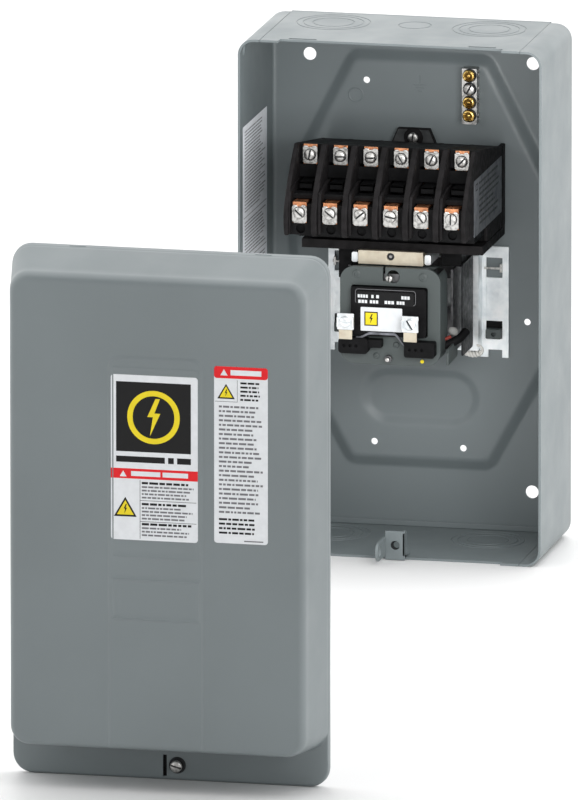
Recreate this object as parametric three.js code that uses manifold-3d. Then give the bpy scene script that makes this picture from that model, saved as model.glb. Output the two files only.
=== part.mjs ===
// Six-pole magnetic contactor in a sheet-steel enclosure, with its lift-off cover standing in front.
// Millimetres, +Z up, +Y towards the wall. The origin is the middle of the enclosure's underside.
import * as THREE from 'three';
import { mergeVertices } from 'three/addons/utils/BufferGeometryUtils.js';
import Module from 'manifold-3d';

const wasm = await Module();
wasm.setup();

// ---------------------------------------------------------------- driving dimensions
const GAP = 0.3;                  // clearance kept between pieces that touch
const SHEET = 1.6;                // enclosure sheet steel

const BOX_WIDTH = 210;
const BOX_HEIGHT = 356;
const BOX_DEPTH = 102;
const BOX_CORNER = 11;            // outside radius of the four long corners
const END_PLATE_HALF = 90;        // half width of the plates let into the top and bottom
const SET_BACK_HALF = 77;         // their front edge is set back between the corners
const TOP_SET_BACK = 6;
const BOTTOM_SET_BACK = 4;
const BACK = BOX_DEPTH / 2;       // outer face of the back panel
const FRONT = -BOX_DEPTH / 2;     // rim of the enclosure
const PLATEAU_RISE = 4.5;         // raised field pressed into the back panel
const WALL = BACK - SHEET - PLATEAU_RISE;   // face of that field, where the contactor stands
const MOUNTING_HOLE = 9;
const MOUNTING_HOLE_X = 77.5;
const MOUNTING_HOLE_Z = 148.8;    // from the middle of the height
const SMALL_HOLE = 4.6;
const SMALL_HOLES = [[-37, 311.3], [-31.4, 60.3], [30.5, 58.3], [74.9, 148.3]];
const SIDE_HOLE = 7;              // in the left wall, near the top front corner
const SIDE_HOLE_Y = -40;
const SIDE_HOLE_Z = 346;
// Raised field of the back panel: half widths, bottom, top, and the height of its slanted corners.
const FIELD = { side: 92, end: 50, low: 43, high: 332, lowSlant: 76, highSlant: 84 };
const THROUGH = 10;               // how far a hole's cutter reaches past a sheet
const TAB_X = 62;                 // cover tabs and their slits, either side of the middle
const TAB_WIDTH = 16;
const TAB_REACH = 11;
const TAB_THICK = 2.8;
const SLIT = { half: 9.5, front: TOP_SET_BACK + 1.6, width: 2.6 };   // front: back from the rim

const COVER_WIDTH = 212;
const COVER_HEIGHT = 354;
const COVER_DEPTH = 46;
const COVER_SHEET = 1.5;
const COVER_RIM = -710;           // rim of the cover where it stands, removed
const COVER_CORNER = 13;
const FLANGE_DEPTH = 5.5;         // lower flange, in front of the rim
const FLANGE_HEIGHT = 26;

// How the cover's skin is drawn in from its widest outline: side, bottom edge, top, depth from the rim.
const COVER_PROFILE = [
  { side: 0, low: 0, top: 0, depth: 0 },
  { side: 0.6, low: 0, top: 0.8, depth: FLANGE_DEPTH },
  { side: 0.8, low: FLANGE_HEIGHT, top: 1, depth: FLANGE_DEPTH + 0.7 },
  { side: 5.8, low: FLANGE_HEIGHT + 1, top: 8, depth: COVER_DEPTH - 10 },
  { side: 7.4, low: FLANGE_HEIGHT + 2, top: 10, depth: COVER_DEPTH - 4 },
  { side: 11, low: FLANGE_HEIGHT + 4, top: 14, depth: COVER_DEPTH },
];
const FRONT_CORNER = COVER_CORNER - 2;

const HASP_HOLE_X = 4.8;
const HASP_HOLE_Z = 10.4;
const HASP = { left: -2.7, right: 10.9, top: 20.4, low: 0.4, foot: 15, cheek: 6, hole: 3.1 };
const HASP_EAR_X = -4.6;
const HASP_EAR_THICK = 2;
const HASP_EAR_LENGTH = 24;
const HASP_EAR_HEIGHT = 13;
const HASP_EAR_LOW = 3;
const PADLOCK_EYE = 3.8;          // radius
const EAR_SLOT = { clear: 0.8, low: 2.2, high: 17 };   // in the cover's flange
const COVER_SCREW_HEAD = 4.2;     // radius
const COVER_SCREW_HEIGHT = 3.2;
const COVER_SCREW_SHANK = 2.1;    // radius, also of the thread
const COVER_SCREW_NECK = 1.5;     // radius of the groove for the retainer
const COVER_SCREW_HOLE = 2.6;     // radius

const CONTACTOR_SCREW_Z = 274;
const CONTACTOR_HOLE = 2.6;       // radius
const SLOT_WIDTH = 1;             // driver slots

const POLES = 6;
const POLE_PITCH = 21;
const MIDDLE = -3.3;              // contactor's own centre line
const POLE_WIDTH = POLE_PITCH - GAP;
const BARRIER = 1.75;             // wall of one pole; two of them make a barrier
const POLE_BACK = 35;
const LINE_FACE = -45.5;          // face of the upper terminals
const LOAD_FACE = -79;            // face of the lower terminals
const LINE_SCREW_Z = 277.5;
const LOAD_SCREW_Z = 244.5;
const COPPER = 1.5;
const STRAP_WIDTH = 9.4;
const SCREW_HEAD = 7.6;
const PRESSURE_PLATE = { half: 4.9, tall: 5, thick: 1.2 };
const CONTACT_HALF = 3;           // half width and half length of a contact button
const LINE_CONTACT_Y = -28;
const LOAD_CONTACT_Y = -54.5;
const STEP_TOP = 272;             // back edge of the pole's sloping top
const LOAD_STEP_TOP = 249.7;
const FLOOR_TOP = 250.2;          // moulded floor under the upper contact
const POLE_FLOOR = 228;
const LINE_STRAP_Z = 270;
const LINE_TERMINAL_TOP = 284.5;
const LINE_LEG_BACK = -16.5;
const LOAD_TERMINAL_LOW = 237.3;
const LOAD_STRAP_BACK = -50;

const LEDGE_TOP = 215;
const LEDGE_THICK = 6;
const LEDGE_FRONT = -27;
const CONTACTOR_HALF = POLES * POLE_PITCH / 2;
const BASE_TOP = 262;
const EAR = { base: 17, top: 11, low: 258, bend: 266, high: 280, thick: 4 };
const CARRIER_WELL = { half: 20, front: -24, back: 8 };   // opening in the ledge for the carrier

const TRAVEL = 4.5;               // armature and contact carrier, straight down
const CONTACT_TOP = 252.3;        // fixed contact faces
const BRIDGE_Z = CONTACT_TOP + TRAVEL + GAP;
const POST_FRONT = -44;
const POST_BACK = -38;
const CROSSBAR_BOTTOM = LEDGE_TOP + TRAVEL + 1;
const CROSSBAR_TOP = 226.4;
const CROSSBAR_BACK = -12.6;
const POST_HALF = 2.6;
const STEM_HALF = 17;
const STEM_FRONT = -22;

const MAGNET_FRONT = -38;
const MAGNET_BOTTOM = 132.6;
const MAGNET_TOP = 200;
const MAGNET_LEFT = -37;
const MAGNET_RIGHT = 32.5;
const CORE_TOP = 195;
const ARMATURE_BOTTOM = CORE_TOP + TRAVEL + 1;
const ARMATURE_TOP = ARMATURE_BOTTOM + 8;
const ARMATURE = { half: 23, reach: 27.5, front: -32, back: 14 };
const POLE_FACE_BACK = -9;        // back of the magnet core
const CORE_BOTTOM = 140;
const CORE_LEG = 5.4;
const CORE_MIDDLE_LEG = 6;        // half width
const TRAY_BACK = -16;
const TRAY_WALL = 2;
const TRAY_FRONT_WALL = 3;

const SPRING_SEAT = 170;
const SPRING_Y = 8;
const SPRING_OUTSIDE = 4.5;       // radius
const SPRING_INSIDE = 3.2;
const PLATE_FRONT = 30;           // raised middle of the zinc mounting plate
const PLATE_SHEET = 1.5;
const PLATE = { half: 62.7, low: 123.2, high: 200.2, step: 44.5, stepLow: 130, stepHigh: 196 };
const PLATE_WINDOWS = [[178.5, 192.4], [136, 148.5]];
const PLATE_WINDOW_X = 52.7;
const PLATE_NOTCH_X = 53.5;
const BRACKET = {
  left: -34.5, right: 38.1, sheet: 1.6, front: -8, low: 136, mid: 160, upper: 180, high: 194,
};
const BRACKET_WEBS = [BRACKET.left, BRACKET.right - BRACKET.sheet];
const COIL_FEET = [{ left: -36.5, right: -16, low: 141 }, { left: 9, right: 30, low: 140 }];
const COIL_FOOT_FRONT = -46;
const COIL_TERMINAL = { half: 5.8, tail: 4.6, low: 157.5, high: 169, tailLow: 151, screwZ: 163.3 };
const COIL_TERMINAL_FRONT = -47.6;
const COIL_TERMINAL_BACK = -46.3;
const COIL_SCREW_HEAD = 3.7;      // radius

// ---------------------------------------------------------------- materials
const paint = { color: 0x7b8588, roughness: 0.45, metalness: 0.1 };
const phenolic = { color: 0x1a1a1b, roughness: 0.5, metalness: 0 };
const copper = { color: 0xb9744a, roughness: 0.35, metalness: 1 };
const silver = { color: 0xd8d6d0, roughness: 0.3, metalness: 1 };
const brass = { color: 0xb58b2e, roughness: 0.3, metalness: 1 };
const zinc = { color: 0xcfd2cf, roughness: 0.4, metalness: 1 };
const iron = { color: 0x4a4d4f, roughness: 0.5, metalness: 0.8 };

// ---------------------------------------------------------------- solids
function solid(geometry) {
  geometry.deleteAttribute('normal');
  geometry.deleteAttribute('uv');
  const merged = mergeVertices(geometry, 1e-4);
  const mesh = new wasm.Mesh({
    numProp: 3,
    vertProperties: new Float32Array(merged.attributes.position.array),
    triVerts: new Uint32Array(merged.index.array),
  });
  return new wasm.Manifold(mesh);
}

function block(x0, x1, y0, y1, z0, z1) {
  const geometry = new THREE.BoxGeometry(x1 - x0, y1 - y0, z1 - z0);
  geometry.translate((x0 + x1) / 2, (y0 + y1) / 2, (z0 + z1) / 2);
  return solid(geometry);
}

function extruded(shape, length, segments = 6) {
  return new THREE.ExtrudeGeometry(shape, { depth: length, bevelEnabled: false, curveSegments: segments });
}

// A shape drawn in (x, z), extruded from y0 to y1.
function alongY(shape, y0, y1, segments) {
  const geometry = extruded(shape, y1 - y0, segments);
  geometry.rotateX(Math.PI / 2);
  geometry.translate(0, y1, 0);
  return solid(geometry);
}

// A shape drawn in (y, z), extruded from x0 to x1.
function alongX(shape, x0, x1, segments) {
  const geometry = extruded(shape, x1 - x0, segments);
  geometry.rotateY(Math.PI / 2);
  geometry.rotateX(Math.PI / 2);
  geometry.translate(x0, 0, 0);
  return solid(geometry);
}

function outline(points) {
  return new THREE.Shape(points.map(([a, b]) => new THREE.Vector2(a, b)));
}

function roundedRectangle(x0, x1, z0, z1, radius) {
  const shape = new THREE.Shape();
  shape.absarc(x1 - radius, z0 + radius, radius, -Math.PI / 2, 0);
  shape.absarc(x1 - radius, z1 - radius, radius, 0, Math.PI / 2);
  shape.absarc(x0 + radius, z1 - radius, radius, Math.PI / 2, Math.PI);
  shape.absarc(x0 + radius, z0 + radius, radius, Math.PI, 1.5 * Math.PI);
  return shape;
}

function rodY(radius, x, z, y0, y1, segments = 20) {
  const geometry = new THREE.CylinderGeometry(radius, radius, y1 - y0, segments);
  geometry.translate(x, (y0 + y1) / 2, z);
  return solid(geometry);
}

function rodX(radius, y, z, x0, x1, segments = 20) {
  const geometry = new THREE.CylinderGeometry(radius, radius, x1 - x0, segments);
  geometry.rotateZ(Math.PI / 2);
  geometry.translate((x0 + x1) / 2, y, z);
  return solid(geometry);
}

function rodZ(radius, x, y, z0, z1, segments = 20) {
  const geometry = new THREE.CylinderGeometry(radius, radius, z1 - z0, segments);
  geometry.rotateX(Math.PI / 2);
  geometry.translate(x, y, (z0 + z1) / 2);
  return solid(geometry);
}

function joined(pieces) {
  return pieces.reduce((whole, piece) => whole.add(piece));
}

function without(whole, cuts) {
  return cuts.reduce((rest, cut) => rest.subtract(cut), whole);
}

const object = new THREE.Group();

function place(name, body, look, x = 0) {
  const mesh = body.getMesh();
  const geometry = new THREE.BufferGeometry();
  geometry.setAttribute('position', new THREE.BufferAttribute(new Float32Array(mesh.vertProperties), 3));
  geometry.setIndex(new THREE.BufferAttribute(new Uint32Array(mesh.triVerts), 1));
  geometry.computeVertexNormals();
  const node = new THREE.Mesh(geometry, new THREE.MeshStandardMaterial(look));
  node.name = name;
  node.position.x = x;
  object.add(node);
}

// ---------------------------------------------------------------- enclosure
const HALF = BOX_WIDTH / 2;
const MID_Z = BOX_HEIGHT / 2;

// The octagonal field pressed forwards out of the back panel.
function plateau(inset, y0, y1) {
  const side = FIELD.side - inset;
  const end = FIELD.end - inset / 2;
  const top = FIELD.high - inset;
  const bottom = FIELD.low + inset;
  const lower = bottom + FIELD.lowSlant;
  const upper = top - FIELD.highSlant;
  const shape = outline([
    [-end, bottom], [end, bottom], [side, lower], [side, upper],
    [end, top], [-end, top], [-side, upper], [-side, lower],
  ]);
  return alongY(shape, y0, y1);
}

function mountingHoles() {
  const cuts = [];
  for (const side of [-1, 1]) {
    for (const end of [-1, 1]) {
      const x = side * MOUNTING_HOLE_X;
      const z = MID_Z + end * MOUNTING_HOLE_Z;
      cuts.push(rodY(MOUNTING_HOLE / 2, x, z, BACK - THROUGH, BACK + 1));
    }
  }
  return cuts;
}

function enclosureShell() {
  const inner = BOX_CORNER - SHEET;
  const outside = alongY(roundedRectangle(-HALF, HALF, 0, BOX_HEIGHT, BOX_CORNER), FRONT, BACK);
  const inside = alongY(
    roundedRectangle(-HALF + SHEET, HALF - SHEET, SHEET, BOX_HEIGHT - SHEET, inner),
    FRONT - 1, BACK - SHEET,
  );
  const ends = [
    block(-END_PLATE_HALF, END_PLATE_HALF, FRONT - 1, BACK - SHEET, BOX_HEIGHT - SHEET - 1, BOX_HEIGHT + 1),
    block(-END_PLATE_HALF, END_PLATE_HALF, FRONT - 1, BACK - SHEET, -1, SHEET + 1),
  ];
  const raised = plateau(0, BACK - SHEET - PLATEAU_RISE, BACK - SHEET + 0.2);
  const hollow = plateau(SHEET, BACK - PLATEAU_RISE, BACK + 1);
  const smallHoles = SMALL_HOLES.map(([x, z]) => (
    rodY(SMALL_HOLE / 2, x, z, BACK - THROUGH, BACK + 1, 12)
  ));
  const contactorHole = rodY(CONTACTOR_HOLE, MIDDLE, CONTACTOR_SCREW_Z, BACK - THROUGH, BACK + 1, 16);
  const sideHole = rodX(SIDE_HOLE / 2, SIDE_HOLE_Y, SIDE_HOLE_Z, -HALF - 1, -HALF + THROUGH / 2, 12);
  const pan = without(outside, [inside, ...ends]).add(raised);
  return without(pan, [hollow, ...mountingHoles(), ...smallHoles, contactorHole, sideHole]);
}

// Let into the shell's top; the cover's tabs reach in under the slits.
function topEndPlate() {
  const half = END_PLATE_HALF - GAP;
  const plate = block(-half, half, FRONT, BACK - SHEET - GAP, BOX_HEIGHT - SHEET, BOX_HEIGHT);
  const middle = block(
    -SET_BACK_HALF, SET_BACK_HALF, FRONT - 1, FRONT + TOP_SET_BACK, BOX_HEIGHT - 5, BOX_HEIGHT + 1,
  );
  const slits = [-TAB_X, TAB_X].map((x) => {
    const front = FRONT + SLIT.front;
    return block(x - SLIT.half, x + SLIT.half, front, front + SLIT.width, BOX_HEIGHT - 5, BOX_HEIGHT + 1);
  });
  return without(plate, [middle, ...slits]);
}

function bottomEndPlate() {
  const half = END_PLATE_HALF - GAP;
  const plate = block(-half, half, FRONT, BACK - SHEET - GAP, 0, SHEET);
  const middle = block(-SET_BACK_HALF, SET_BACK_HALF, FRONT - 1, FRONT + BOTTOM_SET_BACK, -1, SHEET + 1);
  return without(plate, [middle]);
}

// Takes the cover screw, and its ear passes through the cover for a padlock.
function haspBracket() {
  const floor = SHEET + GAP;
  const front = FRONT - 0.1;
  const { left, right, top } = HASP;
  const face = block(left, right, front, FRONT + SHEET, HASP.low, top);
  const foot = block(left, right, front, FRONT + HASP.foot, floor, floor + SHEET);
  const cheek = block(right - SHEET, right, front, FRONT + HASP.cheek, floor, top);
  const radius = HASP_EAR_HEIGHT / 2;
  const tipCentre = FRONT - HASP_EAR_LENGTH + radius;
  const middle = HASP_EAR_LOW + radius;
  const shape = new THREE.Shape();
  shape.moveTo(FRONT + SHEET, HASP_EAR_LOW);
  shape.lineTo(FRONT + SHEET, HASP_EAR_LOW + HASP_EAR_HEIGHT);
  shape.absarc(tipCentre, middle, radius, Math.PI / 2, 1.5 * Math.PI);
  const ear = alongX(shape, HASP_EAR_X, HASP_EAR_X + HASP_EAR_THICK);
  const eye = rodX(PADLOCK_EYE, tipCentre, middle, HASP_EAR_X - 1, HASP_EAR_X + HASP_EAR_THICK + 1);
  const screwHole = rodY(HASP.hole, HASP_HOLE_X, HASP_HOLE_Z, FRONT - 2, FRONT + 4, 16);
  return without(joined([face, foot, cheek, ear]), [eye, screwHole]);
}

// ---------------------------------------------------------------- cover
// One ring of the cover's skin: a rounded rectangle at a depth in front of the rim, inset by a thickness.
function coverRing({ side, low, top, depth }, inset) {
  const half = COVER_WIDTH / 2 - side - inset;
  const corner = (depth === COVER_DEPTH ? FRONT_CORNER : COVER_CORNER) - inset / 2;
  const shape = roundedRectangle(-half, half, low + inset, COVER_HEIGHT - top - inset, corner);
  const y = COVER_RIM - (depth === 0 ? 0 : depth - inset);
  return shape.getPoints(5).map((point) => [point.x, y, point.y]);
}

function coverRings(inset) {
  return COVER_PROFILE.map((ring) => coverRing(ring, inset));
}

// Skins the outer rings, closes the front, comes back along the inner rings and closes at the rim.
function coverSkin() {
  const outer = coverRings(0);
  const inner = coverRings(COVER_SHEET).reverse();
  const rings = [...outer, ...inner];
  const count = outer[0].length;
  const positions = rings.flat(2);
  const faces = [];
  const strip = (a, b) => {
    for (let i = 0; i < count; i += 1) {
      const next = (i + 1) % count;
      faces.push(a * count + i, a * count + next, b * count + next);
      faces.push(a * count + i, b * count + next, b * count + i);
    }
  };
  const cap = (ring, flipped) => {
    for (let i = 1; i < count - 1; i += 1) {
      const first = ring * count;
      faces.push(...(flipped ? [first, first + i + 1, first + i] : [first, first + i, first + i + 1]));
    }
  };
  for (let ring = 0; ring < outer.length - 1; ring += 1) strip(ring, ring + 1);
  cap(outer.length - 1, false);
  cap(outer.length, true);
  for (let ring = outer.length; ring < rings.length - 1; ring += 1) strip(ring, ring + 1);
  strip(rings.length - 1, 0);
  const geometry = new THREE.BufferGeometry();
  geometry.setAttribute('position', new THREE.Float32BufferAttribute(positions, 3));
  geometry.setIndex(faces);
  return solid(geometry);
}

function coverShell() {
  const top = COVER_HEIGHT - 2.2;
  const tabs = [-TAB_X, TAB_X].map((x) => block(
    x - TAB_WIDTH / 2, x + TAB_WIDTH / 2, COVER_RIM - 4, COVER_RIM + TAB_REACH, top - TAB_THICK, top,
  ));
  const front = COVER_RIM - FLANGE_DEPTH - 2;
  const back = front + FLANGE_DEPTH;
  const right = HASP_EAR_X + HASP_EAR_THICK + EAR_SLOT.clear;
  const slot = block(HASP_EAR_X - EAR_SLOT.clear, right, front, back, EAR_SLOT.low, EAR_SLOT.high);
  const screwHole = rodY(COVER_SCREW_HOLE, HASP_HOLE_X, HASP_HOLE_Z, front, back, 16);
  return without(joined([coverSkin(), ...tabs]), [slot, screwHole]);
}

// Captive screw: head in front of the flange, groove where the retainer rides, thread behind.
const SCREW_TRAVEL = 2.4;         // three turns of a 32-per-inch thread
const SCREW_HEAD_BACK = COVER_RIM - FLANGE_DEPTH - SCREW_TRAVEL - 0.5;
const RETAINER_Y = COVER_RIM - FLANGE_DEPTH + COVER_SHEET + 0.6;

function coverScrew() {
  const along = (radius, y0, y1) => rodY(radius, HASP_HOLE_X, HASP_HOLE_Z, y0, y1);
  const headFront = SCREW_HEAD_BACK - COVER_SCREW_HEIGHT;
  const head = along(COVER_SCREW_HEAD, headFront, SCREW_HEAD_BACK);
  const shank = along(COVER_SCREW_SHANK, SCREW_HEAD_BACK - 0.5, RETAINER_Y - 0.5);
  const neck = along(COVER_SCREW_NECK, RETAINER_Y - 0.6, RETAINER_Y + 1.6);
  const thread = along(COVER_SCREW_SHANK, RETAINER_Y + 1.5, RETAINER_Y + 6);
  const slot = block(
    HASP_HOLE_X - COVER_SCREW_HEAD - 1, HASP_HOLE_X + COVER_SCREW_HEAD + 1, headFront - 1, headFront + 1.1,
    HASP_HOLE_Z - SLOT_WIDTH / 2, HASP_HOLE_Z + SLOT_WIDTH / 2,
  );
  return without(joined([head, shank, neck, thread]), [slot]);
}

function screwRetainer() {
  const ring = rodY(4, HASP_HOLE_X, HASP_HOLE_Z, RETAINER_Y, RETAINER_Y + 1);
  return without(ring, [rodY(1.9, HASP_HOLE_X, HASP_HOLE_Z, RETAINER_Y - 1, RETAINER_Y + 2)]);
}

// ---------------------------------------------------------------- grounding
const BAR = { x0: 31, x1: 41.3, z0: 285.5, z1: 324, front: WALL - GAP - 8 };
const BAR_SCREWS = [319.1, 309.7, 300.6, 291.4];
const BAR_SCREW_HEAD = 3.4;       // radius
const WIRE_HOLE = 2.4;            // radius

function groundBar() {
  const bar = block(BAR.x0, BAR.x1, BAR.front, WALL - GAP, BAR.z0, BAR.z1);
  const wireHoles = BAR_SCREWS.map((z) => rodX(WIRE_HOLE, BAR.front + 4.6, z, BAR.x0 - 1, BAR.x1 + 1, 12));
  return without(bar, wireHoles);
}

function groundScrew(z) {
  const x = (BAR.x0 + BAR.x1) / 2;
  const head = rodY(BAR_SCREW_HEAD, x, z, BAR.front - 2.8, BAR.front - GAP, 16);
  const slot = block(x - 4, x + 4, BAR.front - 4, BAR.front - 1.7, z - SLOT_WIDTH / 2, z + SLOT_WIDTH / 2);
  return head.subtract(slot);
}

// ---------------------------------------------------------------- poles
// Side outline of a pole: its front edge leans forwards and turns under at the bottom.
function poleOutline() {
  const shape = new THREE.Shape();
  shape.moveTo(POLE_BACK, LEDGE_TOP + GAP);
  shape.lineTo(POLE_BACK, STEP_TOP);
  shape.lineTo(-50, 286);
  shape.quadraticCurveTo(-84, 256, -84, 241);
  shape.quadraticCurveTo(-84, 234, -81.5, POLE_FLOOR + 0.4);
  shape.lineTo(-12, POLE_FLOOR - 1);
  shape.lineTo(-12, LEDGE_TOP + GAP);
  return shape;
}

// Two side walls, a back, and the moulded steps that carry the terminals between them.
function poleBlock() {
  const half = POLE_WIDTH / 2;
  const channel = half - BARRIER;
  const inside = half - 1;
  const back = POLE_BACK - 7;
  const sides = alongX(poleOutline(), -half, half, 5);
  const hollow = block(-channel, channel, -100, back - 1, LEDGE_TOP - 2, 300);
  const step = (y0, y1, z0, z1) => block(-inside, inside, y0, y1, z0, z1);
  const across = (points) => alongX(outline(points), -inside, inside);
  const loadFront = LOAD_FACE + COPPER + 0.2;
  const loadStep = across([
    [loadFront, 237], [loadFront, LOAD_STEP_TOP], [-47.5, LOAD_STEP_TOP],
    [-47.5, POLE_FLOOR + 0.5], [-70, POLE_FLOOR + 1], [-70, 237],
  ]);
  const lineFront = LINE_FACE + COPPER + 0.2;
  const roof = across([
    [lineFront, STEP_TOP], [lineFront, 284.6], [back, STEP_TOP + 1],
    [back, 269], [-36, 279.6], [-36, STEP_TOP],
  ]);
  return joined([
    sides.subtract(hollow),
    loadStep,
    roof,
    step(-47, -19.5, BASE_TOP, LINE_STRAP_Z - GAP),
    step(-34.5, back, POLE_FLOOR, FLOOR_TOP),
    step(-11, back, LEDGE_TOP + GAP, POLE_FLOOR + 1),
  ]);
}

function contactButton(y, z0, z1) {
  return block(-CONTACT_HALF, CONTACT_HALF, y - CONTACT_HALF, y + CONTACT_HALF, z0, z1);
}

// Upper terminal: a face for the screw, a leg back through the pole and down to its contact.
function lineTerminal() {
  const half = STRAP_WIDTH / 2;
  const strapTop = LINE_STRAP_Z + COPPER;
  const legFront = LINE_LEG_BACK - COPPER;
  const footLow = CONTACT_TOP - 1.7;
  return joined([
    block(-half, half, LINE_FACE, LINE_FACE + COPPER, LINE_STRAP_Z, LINE_TERMINAL_TOP),
    block(-half, half, LINE_FACE, LINE_LEG_BACK, LINE_STRAP_Z, strapTop),
    block(-half, half, legFront, LINE_LEG_BACK, footLow + 0.2, strapTop),
    block(-half, half, -32, LINE_LEG_BACK, footLow, footLow + 1.2),
    contactButton(LINE_CONTACT_Y, CONTACT_TOP - 0.8, CONTACT_TOP),
  ]);
}

// Lower terminal: the same, with a short leg straight back to its contact.
function loadTerminal() {
  const half = STRAP_WIDTH / 2;
  const strapLow = LOAD_STEP_TOP + GAP;
  const strapTop = strapLow + COPPER;
  return joined([
    block(-half, half, LOAD_FACE, LOAD_FACE + COPPER, LOAD_TERMINAL_LOW, strapTop),
    block(-half, half, LOAD_FACE, LOAD_STRAP_BACK, strapLow, strapTop),
    contactButton(LOAD_CONTACT_Y, strapTop - 0.5, CONTACT_TOP),
  ]);
}

// Binding screw with its square pressure plate.
function terminalScrew(face, z) {
  const front = face - GAP;
  const { half, tall, thick } = PRESSURE_PLATE;
  const plate = block(-half, half, front - thick, front, z - tall, z + tall);
  const head = rodY(SCREW_HEAD / 2, 0, z, front - 4, front - 1, 18);
  const slot = block(-SLOT_WIDTH / 2, SLOT_WIDTH / 2, front - 5, front - 2.6, z - tall, z + tall);
  return without(joined([plate, head]), [slot]);
}

function contactBridge() {
  const low = BRIDGE_Z + 0.8;
  return joined([
    block(-3.6, 3.6, LOAD_CONTACT_Y - 3.5, LINE_CONTACT_Y + 3.5, low, low + 1.6),
    contactButton(LOAD_CONTACT_Y, BRIDGE_Z, BRIDGE_Z + 1),
    contactButton(LINE_CONTACT_Y, BRIDGE_Z, BRIDGE_Z + 1),
  ]);
}

// ---------------------------------------------------------------- contactor frame
function contactorBase() {
  const left = -CONTACTOR_HALF + 0.4;
  const right = CONTACTOR_HALF - 0.4;
  const back = WALL - GAP;
  const ledgeLow = LEDGE_TOP - LEDGE_THICK;
  const plate = block(left, right, POLE_BACK + GAP, back, ledgeLow, BASE_TOP);
  const ledge = block(left, right, LEDGE_FRONT, back, ledgeLow, LEDGE_TOP);
  const { base, top, low, bend, high, thick } = EAR;
  const earShape = outline([
    [-base, low], [base, low], [base, bend], [top, high], [-top, high], [-base, bend],
  ]);
  const ear = alongY(earShape, back - thick, back);
  const well = block(
    -CARRIER_WELL.half, CARRIER_WELL.half, CARRIER_WELL.front, CARRIER_WELL.back, ledgeLow - 1, LEDGE_TOP + 1,
  );
  const screwHole = rodY(2.4, 0, CONTACTOR_SCREW_Z, back - EAR.thick - 2, back + 1, 12);
  return without(joined([plate, ledge, ear]), [well, screwHole]);
}

function baseScrew() {
  const seat = WALL - GAP - EAR.thick - GAP;
  const head = rodY(3.6, 0, CONTACTOR_SCREW_Z, seat - 3, seat, 18);
  const washer = rodY(5.2, 0, CONTACTOR_SCREW_Z, seat - 1, seat, 18);
  const shank = rodY(2.1, 0, CONTACTOR_SCREW_Z, seat - 1, BACK - 1, 12);
  const slot = block(
    -SLOT_WIDTH / 2, SLOT_WIDTH / 2, seat - 4, seat - 1.8, CONTACTOR_SCREW_Z - 6, CONTACTOR_SCREW_Z + 6,
  );
  return without(joined([head, washer, shank]), [slot]);
}

// Insulated crossbar under the poles, one post up through each, and a stem down to the armature.
function contactCarrier() {
  const reach = CONTACTOR_HALF - 2.5;
  const bar = block(-reach, reach, POST_FRONT, CROSSBAR_BACK, CROSSBAR_BOTTOM, CROSSBAR_TOP);
  const stem = block(
    -STEM_HALF, STEM_HALF, STEM_FRONT, CROSSBAR_BACK, ARMATURE_TOP + GAP, CROSSBAR_BOTTOM + 1,
  );
  const posts = poleOffsets().map((x) => (
    block(x - POST_HALF, x + POST_HALF, POST_FRONT, POST_BACK, CROSSBAR_TOP - 1, BRIDGE_Z + 0.8 - GAP)
  ));
  return joined([bar, stem, ...posts]);
}

// Flat bar over the pole faces, with a guide tab at each end.
function armature() {
  const { half, reach, front, back } = ARMATURE;
  const bar = block(-half, half, front, back, ARMATURE_BOTTOM, ARMATURE_TOP);
  const tab = (x0, x1) => block(x0, x1, front + 3, SPRING_Y, ARMATURE_BOTTOM + 1, ARMATURE_TOP - 0.5);
  const pinHole = rodY(2.2, 0, ARMATURE_BOTTOM + 5, front - 1, front + 12, 12);
  return without(joined([bar, tab(-reach, -half + 1), tab(half - 1, reach)]), [pinHole]);
}

// Envelope of the coil spring that lifts the armature off its seat on the mounting plate.
function returnSpring() {
  const tube = rodZ(SPRING_OUTSIDE, 0, SPRING_Y, SPRING_SEAT + GAP, ARMATURE_BOTTOM - GAP, 16);
  return tube.subtract(rodZ(SPRING_INSIDE, 0, SPRING_Y, SPRING_SEAT, ARMATURE_BOTTOM, 16));
}

// Zinc plate: flat ears on the wall, the middle stepped forwards, a tongue for the return spring.
function mountingPlate() {
  const back = WALL - GAP;
  const { half, low, high, step, stepLow, stepHigh } = PLATE;
  const ears = block(-half, half, back - PLATE_SHEET, back, low, high);
  const middle = block(-step, step, PLATE_FRONT, back, stepLow, stepHigh);
  const hollow = block(
    -step + PLATE_SHEET, step - PLATE_SHEET, PLATE_FRONT + PLATE_SHEET, back + 1, low - 3, high + 5,
  );
  const opening = (x, reach, z0, z1) => block(x - reach, x + reach, back - 5, back + 1, z0, z1);
  const windows = [-PLATE_WINDOW_X, PLATE_WINDOW_X].flatMap((x) => (
    PLATE_WINDOWS.map(([z0, z1]) => opening(x, 5.7, z0, z1))
  ));
  const notches = [-PLATE_NOTCH_X, PLATE_NOTCH_X].map((x) => opening(x, 4.8, low - 3, low + 5.3));
  const tongue = block(-SPRING_Y, SPRING_Y, 1, PLATE_FRONT + 1, SPRING_SEAT - 1.6, SPRING_SEAT);
  return without(joined([ears, middle]), [hollow, ...windows, ...notches]).add(tongue);
}

// Folded bracket that carries the magnet in front of the plate.
function magnetBracket() {
  const back = PLATE_FRONT - GAP;
  const { left, right, sheet, front, low, mid, upper, high } = BRACKET;
  const webs = BRACKET_WEBS.map((x) => block(x, x + sheet, front, back, low, high));
  const foot = block(left, right, back - sheet, back, low, mid);
  const head = block(left, right, back - sheet, back, upper, high);
  return joined([...webs, foot, head]);
}

// ---------------------------------------------------------------- magnet and coil
const COIL = { x0: -28.7, x1: 23.2, z0: 153, z1: 186.6, front: -42, back: -2 };
const COIL_MIDDLE = (COIL.x0 + COIL.x1) / 2;

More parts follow.
